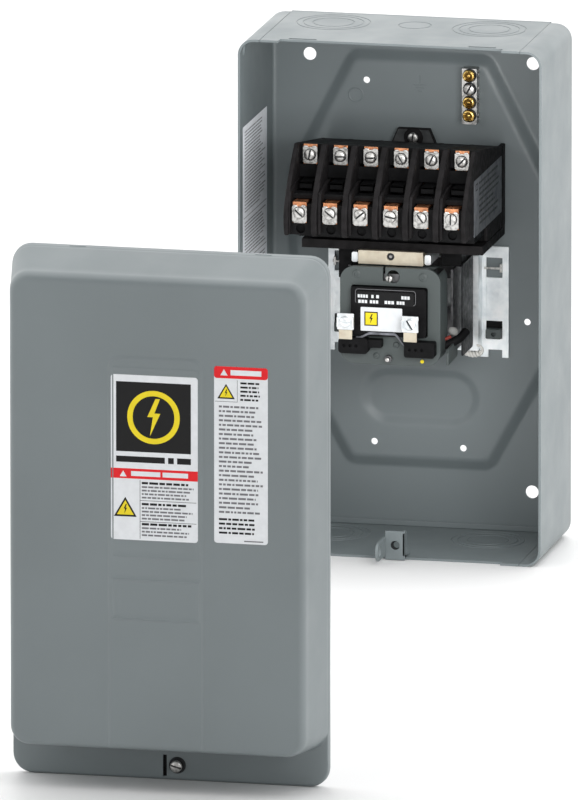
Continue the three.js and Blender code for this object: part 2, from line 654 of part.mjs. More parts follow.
// Painted front clamp of the magnet: a tray, open above and below, with a window for the coil.
function magnetCover() {
  const outer = roundedRectangle(MAGNET_LEFT, MAGNET_RIGHT, MAGNET_BOTTOM, MAGNET_TOP, 10);
  const tray = alongY(outer, MAGNET_FRONT, TRAY_BACK);
  const inside = block(
    MAGNET_LEFT + TRAY_WALL, MAGNET_RIGHT - TRAY_WALL, MAGNET_FRONT + TRAY_FRONT_WALL, TRAY_BACK + 6,
    MAGNET_BOTTOM - 1, MAGNET_TOP + 1,
  );
  const window = block(
    COIL.x0 - 0.5, COIL.x1 + 0.5, MAGNET_FRONT - 1, MAGNET_FRONT + 4, COIL.z0 - 0.5, COIL.z1 + 0.5,
  );
  return without(tray, [inside, window]);
}

// E-shaped stack: two outer legs, a middle leg through the coil, a yoke below, pole faces on top.
function magnetCore() {
  const front = MAGNET_FRONT + TRAY_FRONT_WALL + GAP;
  const outer = COIL.x1 - COIL_MIDDLE + 0.4;
  const full = outer + CORE_LEG;
  const part = (x0, x1, top) => (
    block(COIL_MIDDLE + x0, COIL_MIDDLE + x1, front, POLE_FACE_BACK, CORE_BOTTOM, top)
  );
  return joined([
    part(-full, full, COIL.z0 - GAP),
    part(-full, -outer, CORE_TOP),
    part(-CORE_MIDDLE_LEG, CORE_MIDDLE_LEG, CORE_TOP),
    part(outer, full, CORE_TOP),
  ]);
}

// Encapsulated winding on its bobbin, with two feet that carry the terminals.
function coil() {
  const body = block(COIL.x0, COIL.x1, COIL.front, COIL.back, COIL.z0, COIL.z1);
  const clear = CORE_MIDDLE_LEG + 0.4;
  const bore = block(
    COIL_MIDDLE - clear, COIL_MIDDLE + clear, MAGNET_FRONT + 2, POLE_FACE_BACK + 1, COIL.z0 - 1, COIL.z1 + 1,
  );
  const feet = COIL_FEET.map(({ left, right, low }) => (
    block(left, right, COIL_FOOT_FRONT, MAGNET_FRONT - GAP, low, COIL.z0 + 1.5)
  ));
  return without(joined([body, ...feet]), [bore]);
}

function coilTerminal() {
  const { half, tail, low, high, tailLow, screwZ } = COIL_TERMINAL;
  const front = COIL_TERMINAL_FRONT;
  const plate = block(-half, half, front, COIL_TERMINAL_BACK, low, high);
  const leg = block(-tail, tail, front, COIL_TERMINAL_BACK, tailLow, low + 0.5);
  const head = rodY(COIL_SCREW_HEAD, 0, screwZ, front - 3.2, front + 0.1, 18);
  const slot = block(-4, 4, front - 4.4, front - 1.8, screwZ - SLOT_WIDTH / 2, screwZ + SLOT_WIDTH / 2);
  return without(joined([plate, leg, head]), [slot]);
}

// ---------------------------------------------------------------- assembly
function poleOffsets() {
  return Array.from({ length: POLES }, (_, index) => (index - (POLES - 1) / 2) * POLE_PITCH);
}

place('enclosure_shell', enclosureShell(), paint);
place('top_end_plate', topEndPlate(), paint);
place('bottom_end_plate', bottomEndPlate(), paint);
place('cover_hasp_bracket', haspBracket(), paint);
place('cover_shell', coverShell(), paint);
place('cover_screw', coverScrew(), iron);
place('cover_screw_retainer', screwRetainer(), iron);
place('ground_bar', groundBar(), silver);
BAR_SCREWS.forEach((z, index) => {
  place(`ground_screw_${index + 1}`, groundScrew(z), index === 1 ? silver : brass);
});
place('mounting_plate', mountingPlate(), zinc, -0.4);
place('magnet_bracket', magnetBracket(), iron, MIDDLE);
place('contactor_base', contactorBase(), phenolic, MIDDLE);
place('contactor_base_screw', baseScrew(), zinc, MIDDLE);
poleOffsets().forEach((offset, index) => {
  const x = MIDDLE + offset;
  const number = index + 1;
  place(`pole_block_${number}`, poleBlock(), phenolic, x);
  place(`line_terminal_${number}`, lineTerminal(), copper, x);
  place(`load_terminal_${number}`, loadTerminal(), copper, x);
  place(`line_screw_${number}`, terminalScrew(LINE_FACE, LINE_SCREW_Z), silver, x);
  place(`load_screw_${number}`, terminalScrew(LOAD_FACE, LOAD_SCREW_Z), silver, x);
  place(`contact_bridge_${number}`, contactBridge(), silver, x);
});
place('contact_carrier', contactCarrier(), phenolic, MIDDLE);
place('armature', armature(), zinc, MIDDLE);
place('return_spring', returnSpring(), iron, MIDDLE);
place('magnet_cover', magnetCover(), paint);
place('magnet_core', magnetCore(), iron);
place('coil', coil(), phenolic);
place('coil_terminal_left', coilTerminal(), zinc, -31.2);
place('coil_terminal_right', coilTerminal(), zinc, 13.6);

export default object;
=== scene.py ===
import math
import random

import bmesh
import bpy
from mathutils import Matrix, Vector

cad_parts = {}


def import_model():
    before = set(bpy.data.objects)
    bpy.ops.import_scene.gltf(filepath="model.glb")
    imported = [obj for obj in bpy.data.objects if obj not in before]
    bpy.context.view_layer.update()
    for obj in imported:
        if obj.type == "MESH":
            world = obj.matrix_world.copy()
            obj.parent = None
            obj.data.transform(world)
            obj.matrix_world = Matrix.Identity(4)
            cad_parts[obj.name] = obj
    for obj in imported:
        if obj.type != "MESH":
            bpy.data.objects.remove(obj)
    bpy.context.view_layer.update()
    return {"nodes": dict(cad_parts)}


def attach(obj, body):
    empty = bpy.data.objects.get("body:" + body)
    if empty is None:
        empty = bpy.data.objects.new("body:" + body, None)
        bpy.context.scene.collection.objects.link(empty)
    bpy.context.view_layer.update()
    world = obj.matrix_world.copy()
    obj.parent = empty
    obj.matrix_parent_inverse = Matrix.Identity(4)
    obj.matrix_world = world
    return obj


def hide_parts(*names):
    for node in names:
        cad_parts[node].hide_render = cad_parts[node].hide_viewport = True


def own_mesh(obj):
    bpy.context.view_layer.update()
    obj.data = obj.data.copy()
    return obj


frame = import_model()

# Looks for a six-pole magnetic contactor in a sheet-steel enclosure, its cover standing in front.
# Lengths are millimetres in the row frame (+X right, +Y to the wall, +Z up); raw() makes them metres.
MM = 0.001
NODES = frame["nodes"]

# ---------------------------------------------------------------- driving dimensions, as in the CAD
SHEET = 1.6
HALF = 105.0
HEIGHT = 356.0
BACK = 51.0
FRONT = -51.0
BOX_CORNER = 11.0
BOX_BEND = 4.0
END_PLATE_HALF = 90.0
SET_BACK_HALF = 77.0
TOP_SET_BACK = 6.0
BOTTOM_SET_BACK = 4.0
TAB_X = 62.0
PLATEAU = 4.5
WALL = BACK - SHEET - PLATEAU
COVER_RIM = -710.0
COVER_SHEET = 1.5
COVER_FRONT = COVER_RIM - 46.0
FLANGE = COVER_RIM - 5.5
PANEL_RISE = 0.8
MIDDLE = -3.3
PITCH = 21.0
BARRIER = 1.75
POLE_HALF = 10.35
HASP_X, HASP_Z = 4.8, 10.4
SCREW_TRAVEL = 2.4


# ---------------------------------------------------------------- small geometry
def smooth(t):
    t = max(0.0, min(1.0, t))
    return t * t * (3.0 - 2.0 * t)


def arc(cx, cy, radius, start, end, steps=6):
    """Points on a circular arc, angles in degrees."""
    angles = [math.radians(start + (end - start) * i / steps) for i in range(steps + 1)]
    return [(cx + radius * math.cos(a), cy + radius * math.sin(a)) for a in angles]


def rounded(x0, x1, y0, y1, radius, steps=6):
    """Outline of a rounded rectangle, anticlockwise."""
    points = arc(x1 - radius, y0 + radius, radius, -90, 0, steps)
    points += arc(x1 - radius, y1 - radius, radius, 0, 90, steps)
    points += arc(x0 + radius, y1 - radius, radius, 90, 180, steps)
    points += arc(x0 + radius, y0 + radius, radius, 180, 270, steps)
    return points


def curve(p0, p1, p2, steps=8):
    """Points on a quadratic curve after its first point."""
    out = []
    for i in range(1, steps + 1):
        t = i / steps
        out.append(tuple((1 - t) ** 2 * a + 2 * t * (1 - t) * b + t * t * c for a, b, c in zip(p0, p1, p2)))
    return out


AXES = {
    "X": lambda a, b, c: (c, a, b),
    "Y": lambda a, b, c: (a, c, b),
    "Z": lambda a, b, c: (a, b, c),
}


def bands(count, rings):
    """Faces between rings that have count points each, and a cap at either end."""
    faces = []
    for ring in range(rings - 1):
        for i in range(count):
            a, b = ring * count + i, ring * count + (i + 1) % count
            faces.append([a, b, b + count, a + count])
    last = (rings - 1) * count
    return faces + [list(range(count))[::-1], list(range(last, last + count))]


def prism(outline, axis, low, high):
    """A closed prism. The outline is (x, z) along Y, (y, z) along X, or (x, y) along Z."""
    place = AXES[axis]
    vertices = [place(a, b, low) for a, b in outline] + [place(a, b, high) for a, b in outline]
    return vertices, bands(len(outline), 2)


def block(x0, x1, y0, y1, z0, z1):
    return prism([(x0, z0), (x1, z0), (x1, z1), (x0, z1)], "Y", y0, y1)


def lathe(profile, axis, centre, steps=32):
    """A closed solid turned about an axis; the profile is (radius, distance along the axis)."""
    vertices = []
    for radius, along in profile:
        for i in range(steps):
            angle = 2 * math.pi * i / steps
            offset = AXES[axis](radius * math.cos(angle), radius * math.sin(angle), along)
            vertices.append(tuple(c + o for c, o in zip(centre, offset)))
    return vertices, bands(steps, len(profile))


def rod(radius, axis, centre, low, high, steps=32):
    return lathe([(radius, low), (radius, high)], axis, centre, steps)


def merged(*parts):
    vertices, faces = [], []
    for part_vertices, part_faces in parts:
        start = len(vertices)
        vertices += part_vertices
        faces += [[start + i for i in face] for face in part_faces]
    return vertices, faces


def turned(part, centre, axis, degrees):
    """A part turned about an axis through a centre."""
    move = Matrix.Translation(centre) @ Matrix.Rotation(math.radians(degrees), 4, axis)
    move = move @ Matrix.Translation(-Vector(centre))
    return [tuple(move @ Vector(v)) for v in part[0]], part[1]


def shifted(part, x=0.0, y=0.0, z=0.0):
    return [(a + x, b + y, c + z) for a, b, c in part[0]], part[1]


def tube(points, radius, steps=10):
    """A round tube along a path of points."""
    path = [Vector(p) for p in points]
    vertices = []
    side = Vector((0.3, 0.5, 0.8))
    for i, point in enumerate(path):
        ahead = path[min(i + 1, len(path) - 1)] - path[max(i - 1, 0)]
        ahead.normalize()
        side = (side - side.dot(ahead) * ahead).normalized()
        other = ahead.cross(side)
        for k in range(steps):
            angle = 2 * math.pi * k / steps
            vertices.append(tuple(point + radius * (math.cos(angle) * side + math.sin(angle) * other)))
    return vertices, bands(steps, len(path))


# ---------------------------------------------------------------- objects
def raw(name, part, material=None):
    mesh = bpy.data.meshes.new(name)
    mesh.from_pydata([Vector(v) * MM for v in part[0]], [], part[1])
    if material:
        mesh.materials.append(material)
    obj = bpy.data.objects.new(name, mesh)
    bpy.context.collection.objects.link(obj)
    return obj


def tidy_normals(obj):
    work = bmesh.new()
    work.from_mesh(obj.data)
    bmesh.ops.recalc_face_normals(work, faces=work.faces)
    work.to_mesh(obj.data)
    work.free()


def applied(obj):
    """The object's mesh with its modifiers made permanent."""
    bpy.context.view_layer.update()
    graph = bpy.context.evaluated_depsgraph_get()
    mesh = bpy.data.meshes.new_from_object(obj.evaluated_get(graph))
    obj.modifiers.clear()
    obj.data = mesh


def cut(obj, *parts):
    """Cuts each part out of the object."""
    cutters = []
    for part in parts:
        cutter = raw("cutter", part)
        tidy_normals(cutter)
        change = obj.modifiers.new("cut", "BOOLEAN")
        change.object = cutter
        change.operation = "DIFFERENCE"
        change.solver = "EXACT"
        cutters.append(cutter)
    applied(obj)
    for cutter in cutters:
        bpy.data.objects.remove(cutter)


def bevelled(obj, width, segments=3, angle=35.0):
    change = obj.modifiers.new("edges", "BEVEL")
    change.width = width * MM
    change.segments = segments
    change.limit_method = "ANGLE"
    change.angle_limit = math.radians(angle)
    change.use_clamp_overlap = True
    change.harden_normals = True
    obj.data.shade_smooth()


def shaded(obj, degrees):
    """Smooth shading, with edges sharper than an angle left sharp."""
    obj.data.shade_smooth()
    obj.data.set_sharp_from_angle(angle=math.radians(degrees))


def piece(name, part, material, nodes=(), bevel=0.0, segments=3, cuts=(), angle=35.0, body="enclosure"):
    """One finished piece: its mesh, material, cuts, rounded edges, body and the CAD nodes it stands for."""
    obj = raw(name, part, material)
    tidy_normals(obj)
    if cuts:
        cut(obj, *cuts)
    if bevel:
        bevelled(obj, bevel, segments, angle)
    else:
        shaded(obj, angle)
    return settled(obj, body, nodes)


def settled(obj, body, nodes=()):
    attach(obj, body)
    if nodes:
        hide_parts(*nodes)
    return obj


def keep_node(name, material, bevel, segments=2):
    """A CAD node that stays: its flat faces are merged, its edges rounded, and it gets a finish."""
    obj = NODES[name]
    merge = obj.modifiers.new("flat faces", "DECIMATE")
    merge.decimate_type = "DISSOLVE"
    merge.angle_limit = math.radians(1.0)
    bevelled(obj, bevel, segments)
    obj.data.materials.clear()
    obj.data.materials.append(material)


# ---------------------------------------------------------------- materials
class Finish:
    """A procedural material on one Principled shader, in object coordinates (metres)."""

    def __init__(self, name, rough, metallic=0.0, specular=0.5):
        self.material = bpy.data.materials.new(name)
        self.material.use_nodes = True
        self.nodes = self.material.node_tree.nodes
        self.links = self.material.node_tree.links
        self.shader = self.nodes["Principled BSDF"]
        self.shader.inputs["Metallic"].default_value = metallic
        self.shader.inputs["Roughness"].default_value = rough
        self.shader.inputs["Specular IOR Level"].default_value = specular
        self.place = self.nodes.new("ShaderNodeTexCoord").outputs["Object"]

    def noise(self, scale, detail=3.0, stretch=(1.0, 1.0, 1.0)):
        mapping = self.nodes.new("ShaderNodeMapping")
        mapping.inputs["Scale"].default_value = stretch
        self.links.new(self.place, mapping.inputs["Vector"])
        node = self.nodes.new("ShaderNodeTexNoise")
        node.inputs["Scale"].default_value = scale
        node.inputs["Detail"].default_value = detail
        self.links.new(mapping.outputs["Vector"], node.inputs["Vector"])
        return node.outputs["Fac"]

    def ramp(self, value, stops):
        """stops are (position, colour), colours linear RGB."""
        node = self.nodes.new("ShaderNodeValToRGB")
        elements = node.color_ramp.elements
        while len(elements) < len(stops):
            elements.new(0.5)
        for element, (position, colour) in zip(elements, stops):
            element.position = position
            element.color = (*colour, 1.0)
        self.links.new(value, node.inputs["Fac"])
        return node.outputs["Color"]

    def colour(self, value, stops):
        self.links.new(self.ramp(value, stops), self.shader.inputs["Base Color"])
        return self

    def speckled(self, base, value, threshold, colour, amount):
        """Mixes a colour in where the value is above a threshold."""
        mask = self.ramp(value, [(threshold, (0, 0, 0)), (min(1.0, threshold + 0.08), (amount,) * 3)])
        mix = self.nodes.new("ShaderNodeMix")
        mix.data_type = "RGBA"
        self.links.new(mask, mix.inputs["Factor"])
        self.links.new(base, mix.inputs["A"])
        mix.inputs["B"].default_value = (*colour, 1.0)
        self.links.new(mix.outputs["Result"], self.shader.inputs["Base Color"])
        return self

    def rough(self, value, low, high):
        node = self.nodes.new("ShaderNodeMapRange")
        node.inputs["To Min"].default_value = low
        node.inputs["To Max"].default_value = high
        node.inputs["From Min"].default_value = 0.3
        node.inputs["From Max"].default_value = 0.7
        self.links.new(value, node.inputs["Value"])
        self.links.new(node.outputs["Result"], self.shader.inputs["Roughness"])
        return self

    def bump(self, value, strength, distance):
        """distance in metres."""
        node = self.nodes.new("ShaderNodeBump")
        node.inputs["Strength"].default_value = strength
        node.inputs["Distance"].default_value = distance
        self.links.new(value, node.inputs["Height"])
        previous = self.shader.inputs["Normal"].links
        if previous:
            self.links.new(previous[0].from_socket, node.inputs["Normal"])
        self.links.new(node.outputs["Normal"], self.shader.inputs["Normal"])
        return self


def shades(colour, spread):
    """A darker and a lighter version of a colour."""
    return tuple(c * (1 - spread) for c in colour), tuple(min(1.0, c * (1 + spread)) for c in colour)


def painted(name, colour, rough=0.42):
    """Baked enamel on sheet steel: faint clouds, orange peel and a few specks of dust."""
    finish = Finish(name, rough, 0.0, 0.6)
    low, high = shades(colour, 0.05)
    clouds = finish.ramp(finish.noise(9.0, 4.0), [(0.3, low), (0.7, high)])
    dust = finish.noise(900.0, 1.0)
    finish.speckled(clouds, dust, 0.74, tuple(c * 1.25 for c in colour), 0.35)
    finish.rough(finish.noise(35.0, 4.0), rough - 0.05, rough + 0.07)
    finish.bump(finish.noise(420.0, 2.0), 0.10, 0.0002)
    finish.bump(finish.noise(24.0, 2.0), 0.08, 0.001)
    return finish.material


def moulded(name, colour, rough=0.55):
    """Moulded phenolic: near black, a little mottled and dusty."""
    finish = Finish(name, rough, 0.0, 0.12)
    low, high = shades(colour, 0.35)
    clouds = finish.ramp(finish.noise(160.0, 5.0), [(0.32, low), (0.68, high)])
    finish.speckled(clouds, finish.noise(1500.0, 2.0), 0.72, (0.05, 0.05, 0.05), 0.25)
    finish.rough(finish.noise(220.0, 4.0), rough - 0.10, rough + 0.12)
    finish.bump(finish.noise(900.0, 3.0), 0.18, 0.0002)
    return finish.material


def metal(name, colour, tint, rough, stretch=(1.0, 1.0, 1.0), marks=0.15, grain=130.0):
    """Plated or bare metal: uneven tint, fine rolling marks and smears."""
    finish = Finish(name, rough, 1.0, 0.5)
    finish.colour(finish.noise(grain, 5.0), [(0.3, tint), (0.52, colour), (0.75, shades(colour, 0.12)[1])])
    finish.rough(finish.noise(300.0, 4.0), rough - 0.08, rough + 0.14)
    finish.bump(finish.noise(1400.0, 3.0, stretch), marks, 0.0002)
    finish.bump(finish.noise(180.0, 3.0), marks, 0.0004)
    return finish.material


def vinyl(name, colour, rough=0.38):
    """Printed film: nearly even, with faint mottling of the ink."""
    finish = Finish(name, rough, 0.0, 0.25)
    low, high = shades(colour, 0.03)
    finish.colour(finish.noise(220.0, 3.0), [(0.35, low), (0.65, high)])
    finish.rough(finish.noise(90.0, 3.0), rough - 0.04, rough + 0.06)
    finish.bump(finish.noise(600.0, 2.0), 0.04, 0.0001)
    return finish.material


PAINT = painted("enclosure_enamel", (0.168, 0.195, 0.202))
CLAMP_PAINT = painted("magnet_enamel", (0.060, 0.074, 0.073), 0.5)
PHENOLIC = moulded("black_phenolic", (0.005, 0.005, 0.0055))
LEDGE_PHENOLIC = moulded("brown_black_phenolic", (0.011, 0.010, 0.0105), 0.6)
BOBBIN = moulded("grey_bobbin_plastic", (0.16, 0.165, 0.185), 0.5)
COPPER = metal("copper_strip", (0.80, 0.36, 0.18), (0.48, 0.19, 0.10), 0.34, (1, 1, 6))
SILVER = metal("tin_plate", (0.62, 0.61, 0.59), (0.24, 0.235, 0.225), 0.40, (1, 1, 1), 0.10, 420.0)
# Silver darkened nearly to black for the contact bridges: painted shade of the deep recess they sit in.
SHADED_CONTACT_SILVER = metal("contact_silver_in_shade", (0.16, 0.14, 0.12), (0.06, 0.05, 0.045), 0.45)
DUSTY_PHENOLIC = moulded("dusty_phenolic", (0.050, 0.052, 0.053), 0.6)
BRASS = metal("bright_brass", (0.80, 0.55, 0.17), (0.48, 0.27, 0.06), 0.26)
# Brass darkened as painted shade, for the wells of the cup screws.
SHADE_BRASS = metal("shaded_brass", (0.16, 0.09, 0.02), (0.08, 0.04, 0.01), 0.5)
ZINC = metal("zinc_plate", (0.90, 0.93, 0.94), (0.78, 0.82, 0.84), 0.45, (1, 1, 5), 0.05)
ARMATURE_ZINC = metal("yellow_zinc", (0.68, 0.62, 0.50), (0.60, 0.52, 0.41), 0.5, (6, 1, 1), 0.03)
STEEL = metal("oiled_steel", (0.17, 0.17, 0.175), (0.07, 0.07, 0.075), 0.42)
# Black steel; also used as painted shade, in screw slots and as rings round screw heads.
DARK_STEEL = metal("black_steel", (0.05, 0.052, 0.055), (0.02, 0.02, 0.022), 0.5)
WHITE = vinyl("label_white", (0.72, 0.74, 0.76))
BLACK_INK = vinyl("label_black", (0.006, 0.006, 0.0065))
YELLOW_INK = vinyl("label_yellow", (0.80, 0.64, 0.02))
RED_INK = vinyl("label_red", (0.72, 0.015, 0.02))
GREY_INK = vinyl("label_grey", (0.17, 0.17, 0.18))
FOIL = metal("nameplate_foil", (0.30, 0.31, 0.33), (0.20, 0.21, 0.23), 0.55, (1, 1, 4), 0.05)
WALL_LABEL = vinyl("wall_label_film", (0.84, 0.86, 0.90), 0.5)
SLEEVE = moulded("cloth_sleeving", (0.26, 0.26, 0.25), 0.7)
LEAD = vinyl("bare_lead", (0.62, 0.61, 0.58), 0.5)
RED_WIRE = vinyl("red_insulation", (0.22, 0.03, 0.02), 0.45)


# ---------------------------------------------------------------- pressed sheet pans
def lines(low, high, step, extra=()):
    """Grid lines about a step apart, with extra ones where the surface has fine detail."""
    count = max(1, round((high - low) / step))
    fixed = [low, high] + [e for e in extra if low < e < high]
    even = [low + (high - low) * i / count for i in range(count + 1)]
    even = [e for e in even if all(abs(e - f) > 0.35 * step for f in fixed)]
    out = []
    for value in sorted(fixed + even):
        if not out or value - out[-1] > 1e-3:
            out.append(value)
    return out


class Pan:
    """A pressed pan: a rounded-rectangle panel on a grid, and rings that carry its edge on.

    A ring is (half width, low, high, corner radius, y). Every ring has one point for each point of the
    panel's edge, so bends and walls stay in line with the grid.
    """

    CORNER = [0.2, 0.4, 0.6, 0.8, 1.0]

    def __init__(self, rings, xs, zs, relief):
        half, low, high, radius, _ = rings[0]
        inner_x, inner_z, middle = half - radius, (high - low) / 2 - radius, (low + high) / 2
        ends = [(-1, u) for u in self.CORNER[::-1]], [(1, u) for u in self.CORNER]
        self.columns = ends[0] + [(0, x / inner_x) for x in xs] + ends[1]
        self.rows = ends[0] + [(0, (z - middle) / inner_z) for z in zs] + ends[1]
        self.rings, self.relief = rings, relief
        self.vertices, self.faces = [], []
        self.panel()
        self.walls()

    def point(self, column, row, ring, fade=1.0):
        half, low, high, radius, y = ring
        (side, u), (end, v) = column, row
        pull = max(u, v) / math.hypot(u, v) if side and end else 1.0
        x = side * (half - radius + radius * u * pull) if side else u * (half - radius)
        reach = (high - low) / 2 - radius
        z = (low + high) / 2 + (end * (reach + radius * v * pull) if end else v * reach)
        return x, y - fade * self.relief(x, z), z

    def panel(self):
        across = len(self.columns)
        for row in self.rows:
            for column in self.columns:
                self.vertices.append(self.point(column, row, self.rings[0]))
        for r in range(len(self.rows) - 1):
            for c in range(across - 1):
                a = r * across + c
                self.faces.append([a, a + 1, a + 1 + across, a + across])

    def edge(self):
        """(column, row) numbers round the panel's edge."""
        right, top = len(self.columns) - 1, len(self.rows) - 1
        out = [(c, 0) for c in range(right)] + [(right, r) for r in range(top)]
        out += [(c, top) for c in range(right, 0, -1)] + [(0, r) for r in range(top, 0, -1)]
        return out

    def walls(self):
        across = len(self.columns)
        loop = self.edge()
        previous = [r * across + c for c, r in loop]
        for number, ring in enumerate(self.rings[1:], 1):
            fade = max(0.0, 1.0 - number / 3.0)
            start = len(self.vertices)
            for c, r in loop:
                self.vertices.append(self.point(self.columns[c], self.rows[r], ring, fade))
            current = list(range(start, start + len(loop)))
            for i in range(len(loop)):
                n = (i + 1) % len(loop)
                self.faces.append([previous[i], previous[n], current[n], current[i]])
            previous = current


def thickened(obj, thickness, inward):
    change = obj.modifiers.new("sheet", "SOLIDIFY")
    change.thickness = thickness * MM
    change.offset = -1.0 if inward else 1.0
    change.use_even_offset = True
    change.use_rim = True
    applied(obj)


# ---------------------------------------------------------------- enclosure
def polygon_distance(x, z, points):
    """Signed distance to a convex polygon, negative inside."""
    nearest, outside = 1e9, False
    for (ax, az), (bx, bz) in zip(points, points[1:] + points[:1]):
        ex, ez = bx - ax, bz - az
        t = max(0.0, min(1.0, ((x - ax) * ex + (z - az) * ez) / (ex * ex + ez * ez)))
        nearest = min(nearest, math.hypot(x - ax - t * ex, z - az - t * ez))
        outside = outside or (ex * (z - az) - ez * (x - ax)) < 0
    return nearest if outside else -nearest


FIELD_ROUND = 12.0
FIELD_SLOPE = 8.0
FIELD = [
    (-43.5, 55), (43.5, 55), (80, 122), (80, 244.7), (41.5, 320), (-41.5, 320), (-80, 244.7), (-80, 122),
]
RECESS_DEPTH = 3.0
RECESS_X, RECESS_Z = 0.6, 92.5
RECESS_REACH, RECESS_RADIUS = 21.7, 20.7
RECESS_SLOPE = 7.0


def back_relief(x, z):
    """Raised octagonal field with an obround recess, towards the viewer."""
    inside = FIELD_ROUND - polygon_distance(x, z, FIELD)
    along = max(0.0, abs(x - RECESS_X) - RECESS_REACH)
    recess = RECESS_RADIUS - math.hypot(along, z - RECESS_Z)
    return PLATEAU * sloped(inside / FIELD_SLOPE) - RECESS_DEPTH * sloped(recess / RECESS_SLOPE)


def sloped(t):
    """Nearly straight slope from 0 to 1, a little eased at both ends."""
    t = max(0.0, min(1.0, t))
    return 0.8 * t + 0.2 * smooth(t)


def box_rings():
    rings = []
    for step in range(6):
        angle = math.radians(18 * step)
        inset = BOX_BEND * (1 - math.sin(angle))
        y = BACK - BOX_BEND * (1 - math.cos(angle))
        rings.append((HALF - inset, inset, HEIGHT - inset, BOX_CORNER - inset, y))
    rings.append((HALF, 0.0, HEIGHT, BOX_CORNER, 0.0))
    rings.append((HALF, 0.0, HEIGHT, BOX_CORNER, FRONT))
    return rings


MOUNTING_HOLE_X, MOUNTING_HOLE_Z = 77.5, 148.8
FIXING_HOLES = [(-37, 311.3), (-31.4, 60.3), (30.5, 58.3), (74.9, 148.3)]
GRID = 1.6


def enclosure_shell():
    inner = HALF - BOX_CORNER
    xs = lines(-inner, inner, GRID, (-END_PLATE_HALF, END_PLATE_HALF))
    zs = lines(BOX_CORNER, HEIGHT - BOX_CORNER, GRID)
    pan = Pan(box_rings(), xs, zs, back_relief)
    panel_faces = (len(pan.columns) - 1) * (len(pan.rows) - 1)
    kept = pan.faces[:panel_faces]
    for face in pan.faces[panel_faces:]:
        points = [pan.vertices[i] for i in face]
        at_plate = all(abs(p[0]) < END_PLATE_HALF + 0.01 for p in points)
        if not at_plate:
            kept.append(face)
    across = len(pan.columns)
    for row, z in ((0, 0.0), (len(pan.rows) - 1, HEIGHT)):
        first = [c for c in range(across) if abs(pan.vertices[row * across + c][0]) < END_PLATE_HALF + 0.01]
        start = len(pan.vertices)
        pan.vertices += [(pan.vertices[row * across + c][0], BACK, z) for c in first]
        for i in range(len(first) - 1):
            a, b = row * across + first[i], row * across + first[i + 1]
            face = [a, b, start + i + 1, start + i]
            kept.append(face if row else face[::-1])
    obj = raw("box_shell_pressing", (pan.vertices, kept), PAINT)
    work = bmesh.new()
    work.from_mesh(obj.data)
    bmesh.ops.delete(work, geom=[v for v in work.verts if not v.link_faces], context="VERTS")
    work.to_mesh(obj.data)
    work.free()
    orient(obj, Vector((0, 1, 0)))
    thickened(obj, SHEET, True)
    levels = (HEIGHT / 2 - MOUNTING_HOLE_Z, HEIGHT / 2 + MOUNTING_HOLE_Z)
    holes = [rod(4.5, "Y", (side * MOUNTING_HOLE_X, 0, z), 40, 55) for side in (-1, 1) for z in levels]
    holes += [rod(2.3, "Y", (x, 0, z), 40, 55, 20) for x, z in FIXING_HOLES]
    holes.append(rod(3.5, "X", (0, -40, 346), -110, -100, 24))
    cut(obj, *holes)
    shaded(obj, 38)
    settled(obj, "enclosure", ["enclosure_shell"])


def orient(obj, outward):
    """Turns the faces so that the largest flat part faces outward."""
    tidy_normals(obj)
    total = Vector((0, 0, 0))
    for face in obj.data.polygons:
        if abs(face.normal.dot(outward)) > 0.9:
            total += face.normal * face.area
    if total.dot(outward) < 0:
        obj.data.flip_normals()


def ring_groove(axis, centre, radius, top, width=0.9, depth=0.35):
    """Cutter for a round groove in a flat face."""
    inner, outer = radius - width / 2, radius + width / 2
    profile = [(inner, top - depth), (outer, top - depth), (outer, top + 1)]
    profile += [(inner, top + 1), (inner, top - depth)]
    vertices, faces = lathe(profile, axis, centre, 48)
    return vertices, faces[:-2]


def knockout_cuts(x, y, radii, top, sign):
    """Grooves of a concentric knockout, on an end plate's outer face."""
    cuts = []
    for radius in radii:
        groove = ring_groove("Z", (0, 0, 0), radius, 0)
        vertices = [(a + x, b + y, top + sign * c) for a, b, c in groove[0]]
        cuts.append((vertices, groove[1]))
    return cuts


def end_plates():
    """Top and bottom plates with knockouts, a set-back front edge, and a fold up the back panel."""
    half = END_PLATE_HALF - 0.3
    back = BACK - SHEET - 0.3
    knockouts = [(18.0, -54.0, (25.0, 20.5, 14.0)), (18.0, 54.0, (25.0, 20.5, 14.0))]
    plates = (
        ("top", HEIGHT - SHEET, HEIGHT, TOP_SET_BACK, knockouts + [(20.0, 2.0, (11.0,))]),
        ("bottom", 0.0, SHEET, BOTTOM_SET_BACK, knockouts),
    )
    for end, low, high, set_back, rounds in plates:
        cuts = [block(-SET_BACK_HALF, SET_BACK_HALF, FRONT - 1, FRONT + set_back, low - 1, high + 1)]
        for y, x, radii in rounds:
            cuts += knockout_cuts(x, y, radii, high, 1) + knockout_cuts(x, y, radii, low, -1)
        if end == "top":
            slit = FRONT + TOP_SET_BACK + 1.6
            cuts += [block(x - 9.5, x + 9.5, slit, slit + 2.6, low - 1, high + 1) for x in (-TAB_X, TAB_X)]
        piece(f"box_{end}_plate", block(-half, half, FRONT, back, low, high), PAINT, [f"{end}_end_plate"],
              0.5, cuts=cuts)
        fold = (high, high + 3.8) if end == "bottom" else (low - 3.8, low)
        piece(f"box_{end}_plate_fold", block(-half, half, back - 1.4, back, *fold), PAINT, bevel=0.5)


# ---------------------------------------------------------------- cover
FACE_HALF = 94.6
FACE_LOW, FACE_HIGH = 31.0, 339.4
FACE_CORNER = 10.0
PANEL_LEFT, PANEL_RIGHT, PANEL_TOP = -31.8, 30.7, 291.0
POCKET = 28.7
LOWER_POCKET = (116.7, 143.0)
UPPER_POCKET = (158.0, 284.0)


def ridge(distance, width):
    return smooth(1.0 - abs(distance) / width)


def frame_distance(x, z, low, high):
    """Distance to the outline of a rectangle as wide as the label pocket."""
    return abs(max(abs(x) - POCKET, low - z, z - high))


